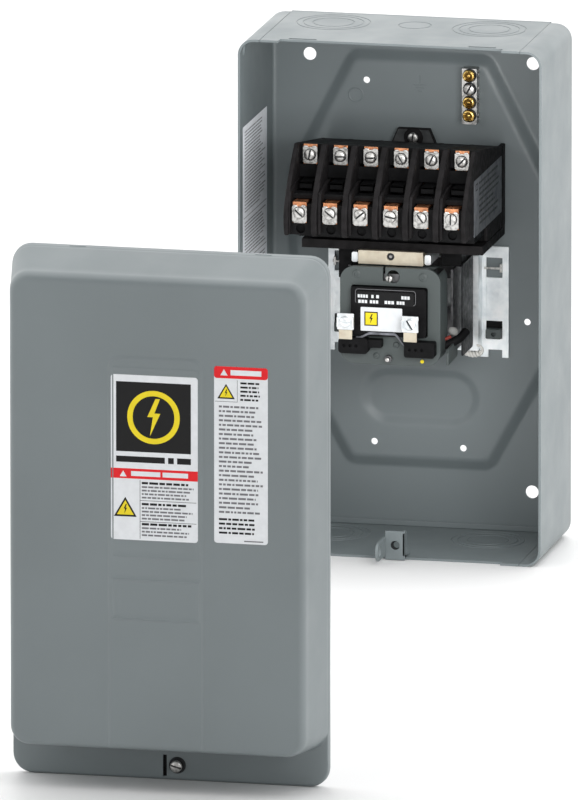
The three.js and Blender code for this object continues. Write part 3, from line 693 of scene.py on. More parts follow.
def cover_relief(x, z):
    """Raised middle panel, with two shallow outlined fields."""
    round_off = 7.0
    middle = (PANEL_LEFT + PANEL_RIGHT) / 2
    reach = (PANEL_RIGHT - PANEL_LEFT) / 2
    dx = max(0.0, abs(x - middle) - reach + round_off)
    dz = max(0.0, z - PANEL_TOP + round_off)
    inside = round_off - math.hypot(dx, dz)
    rise = PANEL_RISE * smooth(inside / 1.6 + 0.5)
    rise += 0.42 * ridge(frame_distance(x, z, *LOWER_POCKET), 0.8)
    rise += 0.30 * ridge(frame_distance(x, z, *UPPER_POCKET), 0.8)
    return rise


def cover_rings():
    """(half width, low, high, corner radius, y) from the front panel back to the rim."""
    rings = []
    for step in range(7):
        t = math.radians(15 * step)
        out, back = math.sin(t), 1 - math.cos(t)
        rings.append((FACE_HALF + 4.6 * out, FACE_LOW - 3.2 * out, FACE_HIGH + 5.2 * out,
                      FACE_CORNER + 3 * out, COVER_FRONT + 8.5 * back))
    rings.append((99.9, 27.4, 345.8, 13.0, COVER_RIM - 34.0))
    rings.append((102.6, 26.8, 349.4, 13.0, COVER_RIM - 20.0))
    rings.append((104.9, 26.4, 352.6, 13.0, COVER_RIM - 8.6))
    rings.append((105.15, 26.2, 352.9, 13.0, COVER_RIM - 7.4))
    for low, back in ((25.9, 6.4), (25.0, 5.8), (23.6, 5.5)):
        rings.append((105.3, low, 353.1, 13.0, COVER_RIM - back))
    rings.append((105.3, 2.6, 353.1, 13.0, COVER_RIM - 5.45))
    for step in range(1, 4):
        t = math.radians(30 * step)
        rings.append((105.3 + 0.2 * step, 2.6 - 2.6 * math.sin(t), 353.1 + 0.2 * step, 13.0,
                      COVER_RIM - 5.4 + 2.6 * (1 - math.cos(t))))
    rings.append((106.0, 0.0, 354.0, 13.0, COVER_RIM))
    return rings


def cover_shell():
    inner = FACE_HALF - FACE_CORNER
    step, line = (-1.2, -0.6, 0, 0.6, 1.2), (-0.8, -0.4, 0, 0.4, 0.8)
    around = [edge + d for edge in (PANEL_LEFT, PANEL_RIGHT) for d in step]
    around += [s * (POCKET + d) for s in (-1, 1) for d in line]
    xs = lines(-inner, inner, 2.6, around)
    levels = [PANEL_TOP + d for d in (-6, -5, -4, -3, -2, *step)]
    levels += [edge + d for edge in LOWER_POCKET + UPPER_POCKET for d in line]
    zs = lines(FACE_LOW + FACE_CORNER, FACE_HIGH - FACE_CORNER, 3.2, levels)
    pan = Pan(cover_rings(), xs, zs, cover_relief)
    obj = raw("cover_pressing", (pan.vertices, pan.faces), PAINT)
    orient(obj, Vector((0, -1, 0)))
    thickened(obj, COVER_SHEET, True)
    slot = block(-5.0, -2.4, FLANGE - 3, FLANGE + 3.6, 2.6, 17)
    cut(obj, slot, rod(2.6, "Y", (HASP_X, 0, HASP_Z), FLANGE - 3, FLANGE + 3.6))
    shaded(obj, 50)
    settled(obj, "cover", ["cover_shell"])
    tabs = [prism(rounded(x - 8, x + 8, COVER_RIM - 4, COVER_RIM + 11, 2.0, 4), "Z", 349.2, 351.6)
            for x in (-TAB_X, TAB_X)]
    piece("cover_tabs", merged(*tabs), PAINT, bevel=0.4, body="cover")
    stops = [block(x - 5.6, x + 5.6, COVER_RIM - 3.4, COVER_RIM - 0.6, 353.0, 354.0) for x in (-TAB_X, TAB_X)]
    piece("cover_tab_folds", merged(*stops), PAINT, bevel=0.45, body="cover")
    # Painted shade: a black plate behind the padlock slot, so that the slot shows dark.
    slot_backing_shade = block(-6.4, -0.8, FLANGE + 1.8, FLANGE + 2.6, 2.2, 17.8)
    obj = piece("cover_slot_shade_backing", slot_backing_shade, PHENOLIC, bevel=0.2, segments=2, body="cover")
    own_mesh(obj)


def slotted_screw(name, centre, radius, height, material, angle, nodes=(), shank=0.0, dome=0.3,
                  slot_shade_finish=None, body="enclosure"):
    """A screw facing -Y: domed head with a straight slot at an angle to the vertical; a dark strip at the
    slot's bottom is painted shade.
    """
    x, y, z = centre
    profile = [(radius * 0.93, 0.0), (radius, -0.25 * height), (radius, -0.62 * height)]
    for step in range(1, 6):
        t = math.radians(18 * step)
        across = radius * (1 - dome * (1 - math.cos(t))) * math.cos(t * 0.72)
        profile.append((across, -height * (0.62 + 0.38 * math.sin(t))))
    part = lathe([(r, y + a) for r, a in profile], "Y", (x, 0, z), 36)
    if shank:
        part = merged(part, rod(radius * 0.58, "Y", (x, 0, z), y - 0.2, y + shank, 24))
    wide = 0.15 * radius
    bottom = y - height * 0.35
    notch = block(x - wide, x + wide, y - height - 1, bottom, z - radius - 1, z + radius + 1)
    notch = turned(notch, centre, "Y", angle)
    reach = 0.93 * radius
    # Painted shade: a thin strip at the bottom of the slot, dark steel unless another finish is given.
    slot_floor_shade = block(x - wide, x + wide, bottom - 0.25, bottom + 0.15, z - reach, z + reach)
    piece(f"{name}_slot", turned(slot_floor_shade, centre, "Y", angle), slot_shade_finish or DARK_STEEL,
          body=body)
    piece(name, part, material, nodes, 0.14, 2, [notch], body=body)


def cover_screw():
    head_back = FLANGE - SCREW_TRAVEL - 0.5
    retainer = FLANGE + COVER_SHEET + 0.6
    slotted_screw("cover_screw_head", (HASP_X, head_back, HASP_Z), 3.9, 3.1, SILVER, -76, ["cover_screw"],
                  6.0, 0.45, body="cover_screw")
    axis = (HASP_X, 0, HASP_Z)
    # Painted shade: a thin dark ring on the flange round the screw head.
    seat = lathe([(2.7, FLANGE - 0.25), (5.6, FLANGE - 0.25), (5.6, FLANGE), (2.7, FLANGE)], "Y", axis, 36)
    piece("cover_head_shade_ring", seat, DARK_STEEL, body="cover")
    pitch, turns, radius = 0.794, 5, 1.95
    coils = []
    for i in range(16 * turns):
        a = 2 * math.pi * i / 16
        along = retainer + 1.7 + pitch * i / 16
        coils.append((HASP_X + radius * math.cos(a), along, HASP_Z + radius * math.sin(a)))
    core = merged(rod(1.5, "Y", axis, head_back, retainer + 1.7),
                  lathe([(1.75, retainer + 1.5), (1.75, retainer + 5.6), (1.3, retainer + 6.0)], "Y", axis),
                  tube(coils, 0.28, 6))
    piece("cover_screw_thread", core, STEEL, body="cover_screw")
    ring = [(1.9, retainer), (4.0, retainer + 0.1), (4.0, retainer + 0.9), (1.9, retainer + 1.0)]
    ring = lathe(ring, "Y", axis)
    piece("screw_retainer_washer", ring, DARK_STEEL, ["cover_screw_retainer"], 0.15, 2,
          body="screw_retainer")


HASP_LEFT, HASP_RIGHT, HASP_TOP = -2.7, 10.9, 20.4


def hasp_bracket():
    floor, front, bend = SHEET + 0.3, FRONT - 0.1, 2.4
    angle = [(front, floor), (FRONT + 15, floor), (FRONT + 15, floor + SHEET)]
    angle += [(front + SHEET + bend, floor + SHEET)]
    angle += arc(front + SHEET + bend, floor + SHEET + bend, bend, -90, -180, 5)
    angle += [(front + SHEET, HASP_TOP - 0.8), (front + 0.5, HASP_TOP), (front, HASP_TOP)]
    plate = merged(prism(angle, "X", HASP_LEFT, HASP_RIGHT),
                   block(HASP_LEFT, HASP_RIGHT, front, FRONT + 1.5, 0.4, floor + 0.4))
    side = prism(rounded(front, FRONT + 6, floor, HASP_TOP, 1.6, 4), "X", HASP_RIGHT - SHEET, HASP_RIGHT)
    tip, low, radius = FRONT - 24.0, 3.0, 6.5
    shape = [(FRONT + SHEET, low), (FRONT + SHEET, low + 13)]
    shape += arc(tip + radius, low + radius, radius, 90, 270, 14)
    ear = prism(shape, "X", -4.6, -2.6)
    piece("hasp_angle", merged(plate, side), PAINT, ["cover_hasp_bracket"], 0.45,
          cuts=[rod(3.1, "Y", (HASP_X - 0.7, 0, HASP_Z), FRONT - 3, FRONT + 4)])
    # Black clip nut that takes the cover screw; its dark colour is also painted shade for what shows through
    # the bracket's hole.
    nut = block(-0.4, 9.0, FRONT + SHEET + 0.1, FRONT + SHEET + 2.2, 4.6, 16.2)
    piece("hasp_clip_nut", nut, DARK_STEEL, bevel=0.4, segments=2,
          cuts=[rod(2.3, "Y", (HASP_X, 0, HASP_Z), FRONT - 3, FRONT + 6)])
    piece("hasp_padlock_ear", ear, PAINT, bevel=0.45,
          cuts=[rod(3.8, "X", (0, tip + radius, low + radius), -8, 2)])


# ---------------------------------------------------------------- poles
def pole_x(number):
    return MIDDLE + (number - 3.5) * PITCH


def pole_outline():
    points = [(35.0, 215.3), (35.0, 272.0), (-50.0, 286.0)]
    points += curve((-50.0, 286.0), (-84.0, 256.0), (-84.0, 241.0), 12)
    points += curve((-84.0, 241.0), (-84.0, 234.0), (-81.5, 228.4), 6)
    return points + [(-12.0, 227.0), (-12.0, 215.3)]


BARRIER_HALF = 2.1


def pole_block(number):
    """The moulded steps of one pole, which carry its terminals, and the ribs beside them."""
    x = pole_x(number)
    reach = POLE_HALF - BARRIER + 0.6
    steps = [
        [(-77.3, 237), (-77.3, 249.7), (-47.5, 249.7), (-47.5, 228.5), (-70, 229), (-70, 237)],
        [(-43.8, 272), (-43.8, 284.6), (28, 273), (28, 269), (-36, 279.6), (-36, 272)],
        [(-47.2, 262), (-47.2, 271.0), (-45.8, 271.0), (-45.8, 269.7), (-19.5, 269.7), (-19.5, 262)],
        [(-69.5, 251.8), (-69.5, 254.6), (-68.5, 255.4), (-60.9, 255.8), (-60.9, 251.8)],
        [(-34.5, 228), (-34.5, 250.2), (28, 250.2), (28, 228)],
        [(-11, 215.3), (-11, 229), (28, 229), (28, 215.3)],
        [(26.5, 215.4), (26.5, 271.8), (35, 271.8), (35, 215.4)],
    ]
    parts = [prism(points, "X", x - reach, x + reach) for points in steps]
    parts += [block(side - 0.9, side + 0.9, -46.2, -20, 251, 262.5) for side in (x - 7.7, x + 7.7)]
    piece(f"pole_moulding_{number}", merged(*parts), PHENOLIC, [f"pole_block_{number}"], 0.45)
    rib = [(-80.5, 230), (-81.5, 246), (-78.0, 258), (-60, 262), (-50, 262), (-50, 229)]
    foot = block(x - 8.3, x + 8.3, -76.5, -50, 228.3, 237.0)
    hole = rod(3.1, "Y", (x, 0, 232.6), -90, -72.8, 24)
    piece(f"pole_foot_{number}", foot, PHENOLIC, bevel=0.35, segments=2, cuts=[hole])
    piece(f"pole_rib_{number}", prism(rib, "X", x - 8.3, x - 6.3), LEDGE_PHENOLIC, bevel=0.5)


def barriers():
    """Seven walls: one outside each end pole and one between each two."""
    left, right = pole_x(1) - POLE_HALF, pole_x(6) + POLE_HALF
    for number in range(7):
        x = pole_x(1) + (number - 0.5) * PITCH
        low, high = max(left, x - BARRIER_HALF), min(right, x + BARRIER_HALF)
        if number in (0, 6):
            low, high = (left, left + 3.2) if number == 0 else (right - 3.2, right)
        piece(f"pole_barrier_{number + 1}", prism(pole_outline(), "X", low, high), LEDGE_PHENOLIC,
              bevel=1.1, segments=4)
    behind = block(right - 3.2, right, 35.2, WALL - 0.4, 215.4, 272.0)
    piece("pole_barrier_8", behind, LEDGE_PHENOLIC, bevel=0.6)


LINE_FACE, LINE_HEIGHT = -45.5, 277.5
LOAD_FACE, LOAD_HEIGHT = -79.0, 244.5
LINE_ANGLES = (10, 88, 86, -32, 25, 44)
LOAD_ANGLES = (-48, -52, 50, -80, -36, 2)


def binding_screw(kind, number, face, z, angle, low, high):
    """Slotted binding head on a pressure plate with turned corners, from low to high above the screw."""
    x = pole_x(number)
    front = face - 0.3
    half = [(3.7, low), (5.1, low + 1.3), (5.1, high - 1.3), (4.1, high), (1.7, high), (1.3, high - 0.8)]
    outline = half + [(-a, b) for a, b in reversed(half)]
    plate = prism([(x + a, z + b) for a, b in outline], "Y", front - 1.1, front)
    top = z + high
    tabs = [turned(block(middle - 1.1, middle + 1.1, front - 1.9, front - 0.5, top - 1.2, top),
                   (middle, front - 0.6, top - 0.7), "X", -12) for middle in (x - 3.0, x + 3.0)]
    foot = block(x - 3.3, x + 3.3, front - 1.5, front - 0.5, z + low, z + low + 0.7)
    piece(f"{kind}_pressure_plate_{number}", merged(plate, *tabs, foot), SILVER, bevel=0.25, segments=2)
    # Painted shade: a dark disc behind the head, seen as a ring round it.
    shade = lathe([(4.15, front - 1.15), (4.15, front - 1.3)], "Y", (x, 0, z), 28)
    piece(f"{kind}_screw_shade_ring_{number}", shade, DARK_STEEL)
    slotted_screw(f"{kind}_binding_screw_{number}", (x, front - 1.3, z), 3.8, 2.7, SILVER, angle,
                  [f"{kind}_screw_{number}"])


def bridge_hood(number):
    """Moulded cap over a moving bridge, with a lip in front of its contact."""
    x = pole_x(number)
    cap = block(x - 4.6, x + 4.6, -60.2, -24, 259.8, 261.6)
    lip = block(x - 4.6, x + 4.6, -60.2, -58.5, 256.9, 261.6)
    piece(f"bridge_hood_{number}", merged(cap, lip), PHENOLIC, bevel=0.4, segments=2,
          body="moving_contacts")


def poles():
    barriers()
    for number in range(1, 7):
        pole_block(number)
        bridge_hood(number)
        binding_screw("line", number, LINE_FACE, LINE_HEIGHT, LINE_ANGLES[number - 1], -6.2, 6.1)
        binding_screw("load", number, LOAD_FACE, LOAD_HEIGHT, LOAD_ANGLES[number - 1], -7.3, 5.0)
        keep_node(f"line_terminal_{number}", COPPER, 0.3)
        keep_node(f"load_terminal_{number}", COPPER, 0.3)
        # The bridges' dark silver is painted shade.
        keep_node(f"contact_bridge_{number}", SHADED_CONTACT_SILVER, 0.3)


# ---------------------------------------------------------------- contactor frame
BASE_SCREW_Z = 274.0


def base_ear_and_screw():
    keep_node("contactor_base", LEDGE_PHENOLIC, 0.8, 3)
    seat = WALL - 0.3 - 4.3
    slotted_screw("base_screw_head", (MIDDLE, seat - 1.0, BASE_SCREW_Z), 3.6, 2.6, SILVER, 8,
                  ["contactor_base_screw"], 6.0)
    washer = lathe([(2.2, seat - 1.0), (5.2, seat - 1.0), (5.4, seat - 0.5), (5.2, seat), (2.2, seat)], "Y",
                   (MIDDLE, 0, BASE_SCREW_Z), 32)
    piece("base_screw_washer", washer, DARK_STEEL, bevel=0.12, segments=2)
    ear = [(-16.4, 258.6), (16.4, 258.6), (16.4, 265.8), (10.7, 279.4), (-10.7, 279.4), (-16.4, 265.8)]
    face = prism([(MIDDLE + a, b) for a, b in ear], "Y", seat - 0.4, seat + 0.3)
    piece("base_ear_face", face, DUSTY_PHENOLIC, bevel=0.3, segments=2)
    rim = [(5.5, seat - 1.1), (6.3, seat - 1.1), (6.7, seat - 0.3), (6.7, seat + 0.6), (5.5, seat + 0.6)]
    rim = lathe(rim, "Y", (MIDDLE, 0, BASE_SCREW_Z), 40)
    piece("base_ear_boss", rim, LEDGE_PHENOLIC, bevel=0.25, segments=2)


def moving_parts():
    keep_node("contact_carrier", PHENOLIC, 0.4)
    bottom, top = 200.5, 208.5
    side = [(-32, bottom), (14, bottom), (14, top), (-27.7, top), (-27.7, 209.9), (-32, 209.9)]
    bar = prism(side, "X", MIDDLE - 22.4, MIDDLE + 22.4)
    pin = rod(2.6, "Y", (MIDDLE, 0, bottom + 5.7), -34, -20, 24)
    piece("armature_stack", bar, ARMATURE_ZINC, ["armature"], 0.3, 2, [pin], body="moving_contacts")
    tabs = [prism(rounded(x - 2.3, x + 2.3, bottom + 0.4, top - 0.3, 1.4, 4), "Y", -30, 8)
            for x in (MIDDLE - 25.2, MIDDLE + 25.2)]
    piece("armature_guide_ends", merged(*tabs), ZINC, bevel=0.4, segments=2, body="moving_contacts")
    piece("armature_pin", lathe([(2.5, -31.2), (2.5, -20)], "Y", (MIDDLE, 0, bottom + 5.7), 24),
          DARK_STEEL, bevel=0.2, segments=2, body="moving_contacts")
    piece("armature_pin_end",
          lathe([(0.9, -31.8), (1.2, -31.5), (1.2, -30)], "Y", (MIDDLE, 0, bottom + 5.7), 20), SILVER,
          bevel=0.15, segments=2, body="moving_contacts")


def return_spring():
    seat, top = 170.3, 200.2
    turns, wire = 7.0, 0.55
    path = []
    for i in range(int(turns * 20) + 1):
        t = i / (turns * 20)
        lift = max(0.0, min(1.0, (t - 0.08) / 0.84))
        angle = 2 * math.pi * turns * t
        z = seat + wire + (top - seat - 2 * wire) * lift
        path.append((MIDDLE + 3.85 * math.cos(angle), 8 + 3.85 * math.sin(angle), z))
    obj = piece("return_spring_coil", tube(path, wire, 8), SILVER, ["return_spring"], angle=60)
    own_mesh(obj)


def mounting_plate():
    keep_node("mounting_plate", ZINC, 0.5)
    keep_node("magnet_bracket", STEEL, 0.4)
    keep_node("magnet_core", STEEL, 0.3)
    middle = -0.4
    y = WALL - 0.3 - 1.5
    bars, feet = [], []
    for side in (-1, 1):
        x = middle + side * 52.7
        bars.append(block(x - 6.6, x + 5.4, y - 2.2, y - 0.8, 184.6, 186.2))
        bars.append(block(x + side * 5.0 - 0.8, x + side * 5.0 + 0.8, y - 2.6, y + 0.4, 182.6, 188.6))
        foot = prism(rounded(x - 5.4, x + 5.4, 136.4, 143.2, 1.0, 4), "Y", y - 3.2, y + 0.6)
        feet.append((foot, rod(1.4, "Y", (x, 0, 139.6), y - 5, y + 2, 20)))
        # A black block behind the plate's window, above each foot.
        window_block = block(x - 5.5, x + 5.5, y + 0.3, WALL - 0.4, 143.4, 148.3)
        piece(f"plate_black_block_{side + 2}", window_block, PHENOLIC, bevel=0.3, segments=2)
    piece("plate_spring_bars", merged(*bars), SILVER, bevel=0.25, segments=2)
    for side, (part, cutter) in zip(("left", "right"), feet):
        piece(f"plate_foot_{side}", part, CLAMP_PAINT, bevel=0.35, segments=2, cuts=[cutter])
    slots = [prism(rounded(x - 0.9, x + 0.9, 138, 196, 0.8, 3), "Y", y - 0.35, y)
             for x in (middle - 46.4, middle + 46.4)]
    piece("plate_edge_strips", merged(*slots), ZINC, bevel=0.2, segments=2)


# ---------------------------------------------------------------- magnet and coil
def magnet_clamp():
    """Painted front clamp: rounded tray with a window, a slit, and its rivets, screw and pins."""
    left, right, low, high = -37.0, 32.5, 132.6, 200.0
    front = -38.0
    outer = prism(rounded(left, right, low, high, 10, 8), "Y", front, -16)
    inside = block(left + 2, right - 2, front + 3, -10, low - 1, high + 1)
    window = prism(rounded(-29.2, 23.7, 152.5, 187.1, 1.5, 4), "Y", front - 1, front + 4)
    slit = prism(rounded(-7.4, -5.6, 190.5, 202, 0.8, 4), "Y", front - 1, front + 4)
    well = prism(rounded(-4.4, 4.2, 189.4, 198.2, 3.9, 8), "Y", front - 1, front + 5.0)
    piece("magnet_clamp", outer, CLAMP_PAINT, ["magnet_cover"], 2.2, 5, [inside, window, slit, well],
          angle=50)
    lug = prism([(-37, 133.8), (-8.3, 134.6), (-8.3, 146.4), (-34, 145), (-37, 142)], "X", 36.5, 38.1)
    piece("magnet_clamp_lug", lug, CLAMP_PAINT, bevel=0.4)
    back_plate = prism(rounded(left + 2.4, right - 2.4, low + 3, high - 4.6, 8, 6), "Y", -9.0, -3.4)
    piece("magnet_back_clamp", back_plate, CLAMP_PAINT, bevel=0.8,
          cuts=[block(-31, 25.5, -12, 0, 151, 188.5)])
    rivets = [(-25.6, 194.6, 2.7), (20.4, 194.2, 2.7), (-11.7, 138.6, 1.9), (2.0, 146.6, 1.9)]
    heads = []
    for x, z, r in rivets:
        profile = [(r + 0.35, 0.3), (r + 0.3, -0.2), (r * 0.8, -0.7)]
        profile += [(r * 0.55, -0.75), (r * 0.5, -0.4), (0.2, -0.4)]
        heads.append(lathe([(a, front + b) for a, b in profile], "Y", (x, 0, z), 24))
    piece("magnet_rivets", merged(*heads), CLAMP_PAINT, angle=50)
    slotted_screw("magnet_screw", (-2.9, front + 0.9, 192.4), 2.5, 2.6, SILVER, 8)
    pin = [(2.6, 0.5), (2.6, -2.2), (2.2, -2.6), (1.5, -2.6), (1.5, -4.4), (1.0, -4.8)]
    pin = lathe([(a, front + b) for a, b in pin], "Y", (-3.2, 0, 137.0), 24)
    piece("magnet_lower_pin", pin, STEEL, bevel=0.15, segments=2)
    tip = lathe([(1.35, front - 4.6), (1.35, front - 5.0), (0.9, front - 5.3)], "Y", (-3.2, 0, 137.0), 20)
    piece("magnet_lower_pin_end", tip, SILVER, angle=50)
    dot = [(1.35, front + 0.2), (1.3, front - 0.25), (0.8, front - 0.45), (0.2, front - 0.5)]
    dot = lathe(dot, "Y", (20.0, 0, 136.0), 20)
    piece("magnet_paint_mark", dot, YELLOW_INK, angle=60)


COIL_FRONT = -42.0


def coil():
    body = prism(rounded(-28.7, 23.2, 153, 186.6, 2.2, 5), "Y", COIL_FRONT, -2.0)
    window = prism(rounded(-25.2, 16.0, 175.3, 185.0, 2.0, 5), "Y", COIL_FRONT - 1, COIL_FRONT + 0.45)
    bore = block(-9.2, 3.6, -36, -1, 152, 188)
    piece("coil_encapsulation", body, PHENOLIC, ["coil"], 0.9, 4, [window, bore])
    border = frame_strip(-25.6, 16.4, 174.9, 185.4, 2.2, 0.35)
    piece("coil_window_edge", prism_ring(border, COIL_FRONT - 0.12, COIL_FRONT + 0.1), GREY_INK)
    feet = [(-36.5, -16.0, 141.0, 2.4), (9.0, 30.0, 140.0, 1.6)]
    for number, (x0, x1, z0, radius) in enumerate(feet, 1):
        part = prism(rounded(x0, x1, z0, z0 + 10.8, radius, 5), "Y", -46.0, -38.3)
        holes = [rod(1.1, "Y", (x0 + 4 + 4.2 * i, 0, z0 + 5.5), -48, -44.6, 16) for i in range(3)]
        piece(f"coil_foot_{number}", part, PHENOLIC, bevel=0.7, cuts=holes)
    step = block(-16.4, -6.8, -45.0, -38.3, 145.4, 151.0)
    piece("coil_foot_step", step, PHENOLIC, bevel=0.5)
    wave = [(x, bobbin_height(x) + 0.8) for x in [-25 + 0.9 * i for i in range(39)]]
    wave += [(x, bobbin_height(x) - 0.8) for x in [-25 + 0.9 * i for i in reversed(range(39))]]
    piece("coil_bobbin_edge", prism(wave, "Y", COIL_FRONT - 1.4, COIL_FRONT + 2.0), BOBBIN, bevel=0.3,
          segments=2)


def bobbin_height(x):
    """The bobbin's lower flange: it rises beside the left foot and falls away to the right one."""
    return 151.4 + 3.6 * smooth((x + 23.5) / 9.0) - 7.5 * smooth((x - 1.5) / 8.0)


def frame_strip(x0, x1, z0, z1, radius, width):
    outer = rounded(x0, x1, z0, z1, radius, 5)
    inner = rounded(x0 + width, x1 - width, z0 + width, z1 - width, max(0.2, radius - width), 5)
    return outer, inner


def prism_ring(strip, y0, y1):
    outer, inner = strip
    count = len(outer)
    vertices = [(a, y, b) for y in (y0, y1) for a, b in outer + inner]
    faces = []
    for i in range(count):
        n = (i + 1) % count
        faces.append([i, n, count + n, count + i])
        faces.append([2 * count + n, 2 * count + i, 3 * count + i, 3 * count + n])
        faces.append([i, 2 * count + i, 2 * count + n, n])
        faces.append([count + n, 3 * count + n, 3 * count + i, count + i])
    return vertices, faces


def coil_terminal(side, x, angle, slot_shade_finish):
    front = -47.6
    plate = prism(rounded(x - 5.8, x + 5.8, 157.6, 169.0, 0.8, 3), "Y", front, front + 1.3)
    piece(f"coil_terminal_tail_{side}", block(x - 4.6, x + 4.6, front + 0.2, front + 1.4, 151.0, 157.5),
          ARMATURE_ZINC, bevel=0.3, segments=2)
    lips = [block(edge - 0.5, edge + 0.5, front - 1.5, front + 0.4, 159.5, 166.5)
            for edge in (x - 5.3, x + 5.3)]
    piece(f"coil_terminal_plate_{side}", merged(plate, *lips), ZINC, [f"coil_terminal_{side}"], 0.3, 2)
    slotted_screw(f"coil_terminal_screw_{side}", (x, front + 0.1, 163.3), 3.9, 2.8, ZINC, angle, shank=1.0,
                  slot_shade_finish=slot_shade_finish)


def side_mouldings():
    """Black guides on either side of the armature, and the lead insulator beside the coil."""
    left = merged(block(-45.5, -31.8, -4, 26, 184, 208.6), block(-41.0, -38.0, -20, 4, 168, 186))
    piece("armature_guide_left", left, PHENOLIC, bevel=0.6)
    right = block(25.4, 39.8, -4, 26, 195.4, 208.6)
    piece("armature_guide_right", right, PHENOLIC, bevel=0.6)


def arc_path(x, y, z, radius, start, end, steps=16):
    """Points of an arc that faces the front, angles in degrees."""
    return [(a, y, b) for a, b in arc(x, z, radius, start, end, steps)]


def coil_leads():
    """Sleeved coil leads behind the clamp's right side, with a splice and its tie."""
    knob = lathe([(1.2, 0), (2.4, 1.0), (2.9, 3.0), (2.6, 5.4), (1.6, 7.0), (0.6, 7.4)], "Z", (0, 0, 0), 20)
    knob = turned(knob, (0, 0, 0), "X", 62)
    knob = turned(knob, (0, 0, 0), "Z", -40)
    piece("lead_splice", shifted(knob, 38.8, -14, 151.6), SLEEVE, angle=60)
    red = tube([(28, -21, 147.6), (30, -22, 148.2), (32.5, -21.5, 148.8), (35.5, -19, 150.0)], 1.1)
    piece("lead_red", red, RED_WIRE, angle=60)
    dark = tube([(24, -20, 142), (29, -21, 143), (35, -19, 145), (41, -14, 148), (44, -8, 152)], 3.0)
    piece("lead_dark", dark, PHENOLIC, angle=60)
    for number in range(2):
        path = []
        for i in range(60):
            t = i / 59
            a = 2 * math.pi * 2.4 * t + math.pi * number
            sag = 1.2 * math.sin(3.1 * t)
            path.append((39.5 + 10.5 * t, 10 + 1.3 * math.cos(a), 133.2 - sag + 1.3 * math.sin(a)))
        piece(f"lead_twisted_{number + 1}", tube(path, 1.0, 8), LEAD, angle=60)
    loop = tube(arc_path(48.0, 10.0, 135.0, 3.4, -100, 100), 0.9, 8)
    piece("lead_loop", loop, LEAD, angle=60)
    panel = prism(rounded(-8, 26, 134, 198, 2.5, 5), "X", 40.4, 41.4)
    piece("magnet_side_screen", panel, DARK_STEEL, bevel=0.4, segments=2)


# ---------------------------------------------------------------- ground bar
def cup_screw(name, x, y, z, angle, nodes):
    """Brass screw whose head is a cup with a raised middle and a slot across its rim; a dark brass ring in
    the cup is painted shade.
    """
    profile = [(3.7, 0.3), (4.1, -0.1), (4.1, -1.5), (3.7, -2.2), (3.0, -2.4), (2.6, -2.1), (2.3, -0.9),
               (1.3, -0.8), (1.0, -1.3), (0.2, -1.4)]
    head = lathe([(r, y + a) for r, a in profile], "Y", (x, 0, z), 36)
    notch = turned(block(x - 0.65, x + 0.65, y - 4, y - 1.4, z - 6, z + 6), (x, y, z), "Y", angle)
    piece(name, head, BRASS, nodes, 0.1, 2, [notch])
    shade = lathe([(2.35, y - 0.85), (2.35, y - 1.0), (1.35, y - 1.0), (1.35, y - 0.85)], "Y", (x, 0, z), 28)
    piece(f"{name}_well", shade, SHADE_BRASS)


def ground_bar():
    x0, x1, front = 31.0, 41.3, WALL - 0.3 - 8.0
    levels = (319.1, 309.7, 300.6, 291.4)
    middle = (x0 + x1) / 2
    bar = prism(rounded(x0, x1, 285.5, 324.0, 0.8, 3), "Y", front, WALL - 0.3)
    holes = [rod(2.4, "X", (0, front + 4.6, z), x0 - 2, x1 + 2, 24) for z in levels]
    seats = [rod(4.75, "Y", (middle + 0.3, 0, z + 0.3), front - 1, front + 1.0, 32) for z in levels]
    piece("ground_bar_body", bar, SILVER, ["ground_bar"], 0.3, 2, holes + seats)
    for number, (z, angle) in enumerate(zip(levels, (55, 28, 42, -58)), 1):
        # Painted shade: a dark disc at the bottom of each seat recess.
        shade = rod(4.7, "Y", (middle + 0.3, 0, z + 0.3), front + 0.85, front + 0.95, 32)
        piece(f"ground_seat_shade_{number}", shade, DARK_STEEL)
        node = [f"ground_screw_{number}"]
        if number == 2:
            slotted_screw("ground_bar_screw_2", (middle, front - 0.1, z), 4.0, 2.5, SILVER, angle, node,
                          0.9)
        else:
            cup_screw(f"ground_bar_screw_{number}", middle - 0.3, front - 0.1, z, angle, node)


